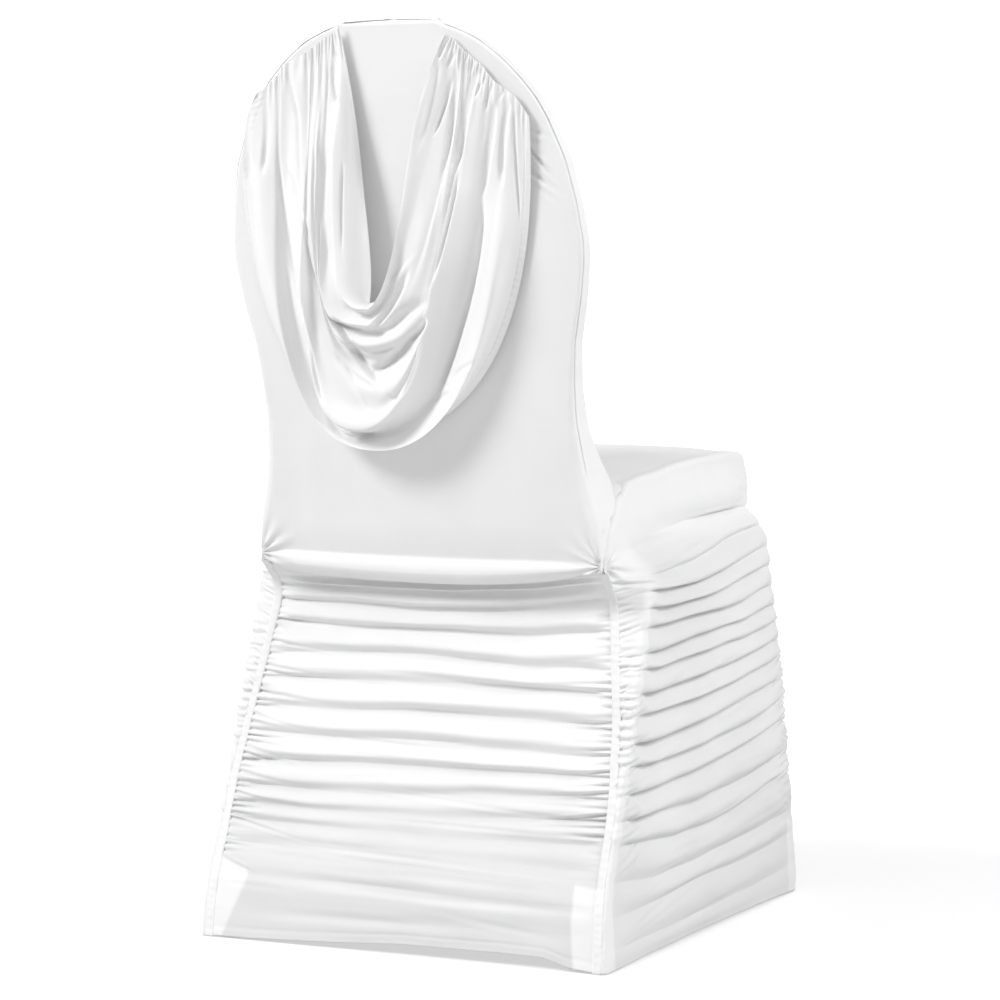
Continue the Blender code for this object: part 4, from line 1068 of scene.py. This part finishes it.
def fold_curve(line, t):
    """Points (x, z, stand-off) on a fold line for t from 0 to 1, and how low they are."""
    (lx, lz, l_lean, l_drop, l_low, bx, bz, r_low, r_drop, r_lean, rx, rz,
     off_side, off_low, _, _) = line
    left = (t <= 0.5)[:, None]
    f = np.where(t <= 0.5, t * 2, (1 - t) * 2)[:, None]
    start = np.where(left, (lx, lz), (rx, rz))
    handle = start + np.where(left, (l_lean, -l_drop), (r_lean, -r_drop))
    low = np.array([bx, bz])
    low_handle = low + np.where(left, (l_low, 0), (r_low, 0))
    g = 1 - f
    place = start * g ** 3 + 3 * handle * f * g * g + 3 * low_handle * f * f * g + low * f ** 3
    f = f[:, 0]
    rise, fall = ease(f / 0.35), ease((f - 0.5) / 0.5)
    off = SHOULDER_OFF + (off_side - SHOULDER_OFF) * rise + (off_low - off_side) * fall
    return np.column_stack([place, off]), f, fall


# %% [markdown]
# Between the fold lines the cloth breaks into shorter, sharper folds: pleats that run
# out from the shoulders, laps where one fold lies on the next, and the pocket under the
# neckline. They are placed one by one, each as a curve through three places read from
# the photograph, with a depth, a width, and how far the cloth on one side lies in front.
# The scene's own camera turns those places into places on the drape.

# %% Short folds of the drape
# For each fold: the pixels where it starts, passes and ends in the photograph, then its
# depth, half width and lap in mm. A positive lap brings the cloth on the right of a
# falling fold, or above a level one, to the front.
PLACED_FOLDS = {
    "left groove": ((276, 140), (290, 262), (326, 412), 5.5, 2.8, 4),
    "left groove, low end": ((300, 320), (311, 368), (326, 408), 3, 3, 0),
    "left wedge": ((286, 66), (292, 95), (298, 124), 5, 2.0, 2),
    "left wedge, edge": ((298, 108), (298, 150), (302, 200), 1.5, 2, 1.5),
    "left small pleat": ((263, 88), (264, 140), (258, 176), 3.5, 3, 0),
    "outer edge trough": ((250, 92), (243, 140), (250, 190), 4, 5, 0),
    "thin pleat": ((284, 166), (298, 200), (314, 262), 2, 2, 0.8),
    "thin pleat, second": ((300, 215), (310, 262), (322, 300), 2, 2.2, 1),
    "broad trough": ((323, 140), (319, 210), (332, 300), 6, 8, 0),
    "pocket by facing": ((333, 62), (333, 86), (338, 111), 4, 2.0, 1.5),
    "pleat by facing": ((330, 28), (333, 46), (338, 60), 3, 1.8, 0),
    "facing line": ((343, 158), (341, 205), (342, 262), 2, 1.6, 0),
    "left fold over pocket": ((332, 316), (357, 357), (384, 391), 6, 2.4, -5),
    "second edge of the pocket": ((336, 349), (350, 372), (380, 390), 2.5, 3.5, 0),
    "facet under the pocket": ((340, 352), (355, 386), (378, 420), 1, 3, -2.5),
    "under the big fold": ((326, 411), (352, 438), (402, 411), 4.5, 2.6, 0),
    "crease under the big fold": ((346, 434), (362, 441), (398, 420), 1.5, 2.2, 0),
    "neckline rim": ((342, 300), (357, 312), (376, 298), 2, 2, 0),
    "second fold, left": ((330, 317), (346, 327), (367, 327), 4.5, 2.2, 0),
    "second fold, right": ((369, 326), (388, 310), (412, 262), 5, 3.5, -2.5),
    "second fold, upper right": ((369, 323), (380, 296), (423, 244), 0.5, 2.5, -2),
    "third fold": ((348, 337), (368, 352), (404, 340), 4, 2.4, 0),
    "third fold, right": ((400, 343), (418, 332), (426, 314), 4, 2.4, 0),
    "soft trough between": ((384, 330), (405, 314), (430, 297), 3.5, 5.5, 0),
    "deep pocket": ((368, 371), (388, 362), (420, 325), 8, 4.2, 0),
    "pocket tip, right": ((384, 392), (404, 388), (424, 320), 1.5, 3, 1.5),
    "right neckline": ((438, 52), (430, 95), (413, 160), 2.5, 4, -1.5),
    "right pleat by the neck": ((453, 72), (443, 104), (430, 139), 4, 2.2, 0),
    "right pleat, second": ((456, 60), (452, 110), (440, 190), 4, 2.6, 0),
    "right gather 1": ((445, 42), (441, 50), (437, 58), 2.5, 1.8, 0),
    "right gather 2": ((456, 50), (451, 58), (446, 67), 3, 1.8, 0),
    "first deep fold, top": ((479, 66), (466, 108), (456, 178), 9, 3.3, 3),
    "first deep fold, low": ((460, 165), (446, 228), (428, 293), 3.5, 2.4, 2.5),
    "second deep fold, top": ((494, 98), (489, 145), (480, 205), 8, 3.0, 3),
    "second deep fold, low": ((482, 190), (468, 300), (426, 424), 7, 3.0, 5),
    "right pleat, third": ((511, 94), (503, 140), (502, 192), 4, 2.4, 0),
    "right pleat by the hem": ((516, 108), (515, 150), (521, 240), 3, 2.2, 1),
    "right gather 3": ((492, 84), (488, 96), (485, 112), 3, 1.8, 0),
    "right gather 4": ((483, 80), (478, 88), (474, 97), 2.5, 1.6, 0),
    "right gather 5": ((505, 86), (502, 92), (498, 98), 2.5, 1.6, 0),
    "right gather 6": ((470, 50), (466, 57), (463, 64), 2.5, 1.6, 0),
    "right gather 7": ((475, 58), (472, 64), (470, 72), 2.5, 1.6, 0),
    "lower right wrinkle": ((420, 408), (440, 398), (452, 396), 1.5, 2.5, 0),
    "lower right wrinkle 2": ((452, 380), (465, 368), (478, 362), 1.2, 2.2, 0),
}
PHOTO_WIDTH = 1000       # pixels, and the photograph is square
DEPTH_GAIN, LAP_GAIN = 1.35, 1.4    # how much stronger the folds are than first judged
CURVE_STEPS = 40
LAP_FADE = 0.014         # how far from a fold its lap dies out
TABLE_OFF = 0.028        # the pixels are taken to show cloth this far off the back


def seen_on_drape(pixel):
    """x and z of the place that a pixel shows, on a plane in front of the back.

    They are rounded to a millimetre, which is about what one pixel covers there.
    """
    to_camera, to_right = np.array(away), np.array(camera_right)
    eye = to_right * AIM_SIDE + (0, 0, AIM_HEIGHT) + to_camera * CAMERA_DISTANCE
    right_share = (pixel[0] / PHOTO_WIDTH - 0.5) / FOCAL_PER_WIDTH
    down_share = (pixel[1] / PHOTO_WIDTH - 0.5) / FOCAL_PER_WIDTH
    ray = to_right * right_share - np.cross(to_camera, to_right) * down_share - to_camera
    square = np.array([0.0, 1.0, -BACK_SLOPE])
    far = (HIP_Y - BACK_SLOPE * HIP_Z + TABLE_OFF - eye @ square) / (ray @ square)
    return np.round((eye + ray * far)[[0, 2]], 3)


def placed_folds(x, z):
    """How far the placed folds move each point of the drape out or in."""
    total = np.zeros(x.shape)
    t = np.linspace(0, 1, CURVE_STEPS + 1)[:, None]
    for *pixels, depth, wide, lap in PLACED_FOLDS.values():
        start, middle, end = (seen_on_drape(pixel) for pixel in pixels)
        depth, lap = round(DEPTH_GAIN * depth, 1), round(LAP_GAIN * lap, 1)
        handle = 2 * middle - (start + end) / 2
        curve = start * (1 - t) ** 2 + 2 * handle * t * (1 - t) + end * t ** 2
        tangent = np.gradient(curve, axis=0)
        step = np.linalg.norm(tangent, axis=1)
        tangent = tangent / step[:, None]
        away_x, away_z = x[..., None] - curve[:, 0], z[..., None] - curve[:, 1]
        nearest = np.argmin(away_x ** 2 + away_z ** 2, axis=-1)
        tx, tz = tangent[nearest, 0], tangent[nearest, 1]
        dx, dz = x - curve[nearest, 0], z - curve[nearest, 1]
        beside = (dx * tz - dz * tx) * 1000
        along = (nearest + (dx * tx + dz * tz) / step[nearest]) / CURVE_STEPS
        fade = ease(along / 0.28) * ease((1 - along) / 0.28)
        trough = depth * bell(beside / wide)
        rise = 0.5 * lap * np.tanh(beside / (0.7 * wide))
        rise = rise * np.exp(-np.abs(beside) / (LAP_FADE * 1000))
        total += 0.001 * fade * (rise - trough)
    return total


# %% Cloth of the drape
columns, per_line = 300, 18
t = denser_ends(np.linspace(0, 1, columns), 0.45)
controls = []
for k, line in enumerate(SWAG_LINES):
    here, f, fall = fold_curve(line, t)
    controls.append(here)
    if k + 1 < len(SWAG_LINES):
        valley = (here + fold_curve(SWAG_LINES[k + 1], t)[0]) / 2
        dip = (line[14] + (line[15] - line[14]) * fall) * np.clip(f / 0.35, 0, 1)
        valley[:, 2] = np.maximum(valley[:, 2] - dip, SHOULDER_OFF)
        valley[:, 1] += 0.25 * dip
        controls.append(valley)
controls = np.array(controls)
v = np.linspace(0, 1, (len(controls) - 1) * per_line + 1)
flat_controls = controls.reshape(len(controls), -1).T
folds = across(flat_controls, v).T.reshape(len(v), columns, 3)
x, z, off = folds[..., 0], folds[..., 1], folds[..., 2]
from_end = np.cumsum(np.hypot(np.diff(x, axis=1), np.diff(z, axis=1)), axis=1)
run = np.concatenate([np.zeros((len(v), 1)), from_end], axis=1)
to_end = run[:, -1:] - run
near = np.minimum(run, to_end)
on_left = run < to_end
vv = v[:, None]
beats = np.where(on_left, 19.0, 25.0)
pleat = np.sin(2 * np.pi * beats * vv + 2.2 * drift(vv * 17, np.where(on_left, 0, 5.5), 111))
off = off + 0.0013 * pleat * bell(near / 0.018) * (0.5 + 0.5 * ease(near / 0.004))
slow = np.sin(2 * np.pi * 9.5 * vv + 2.5 * drift(vv * 9, np.where(on_left, 2.5, 8.5), 112))
off = off + 0.0008 * slow * bell((near - 0.02) / 0.075)
off = off + 0.0010 * drift(vv * 26, run * 9, 113) * ease(near / 0.03)
to_hem = np.cumsum(np.linalg.norm(np.diff(np.stack([x, z, off], -1), axis=0), axis=2)[::-1],
                   axis=0)[::-1]
to_hem = np.concatenate([to_hem, np.zeros((1, columns))])
off = off - STITCH_DEPTH * bell((to_hem - 0.0125) / STITCH_WIDTH)
pucker = np.sin(run * 2 * np.pi / 0.0075 + 2 * drift(run * 60, 0, 114))
pucker = pucker * (0.6 + 0.4 * drift(run * 30, 3, 115))
off = off + 0.0008 * pucker * bell((to_hem - 0.008) / 0.007)
off = off + placed_folds(x + (off - TABLE_OFF) * math.tan(CAMERA_TURN - math.pi), z)
off = np.where(off < 0.006, 0.0030 + 0.003 * np.exp((off - 0.006) / 0.003), off)
reach = lookup(BACK_OUTLINE, z)
x = np.clip(x, -reach, reach)
drape_points = np.stack([x, back_y(z) + off, z], -1)
drape = cloth("cowl_drape", drape_points, (0, 1, 0))
sewn(drape, "swag", drape_knit)
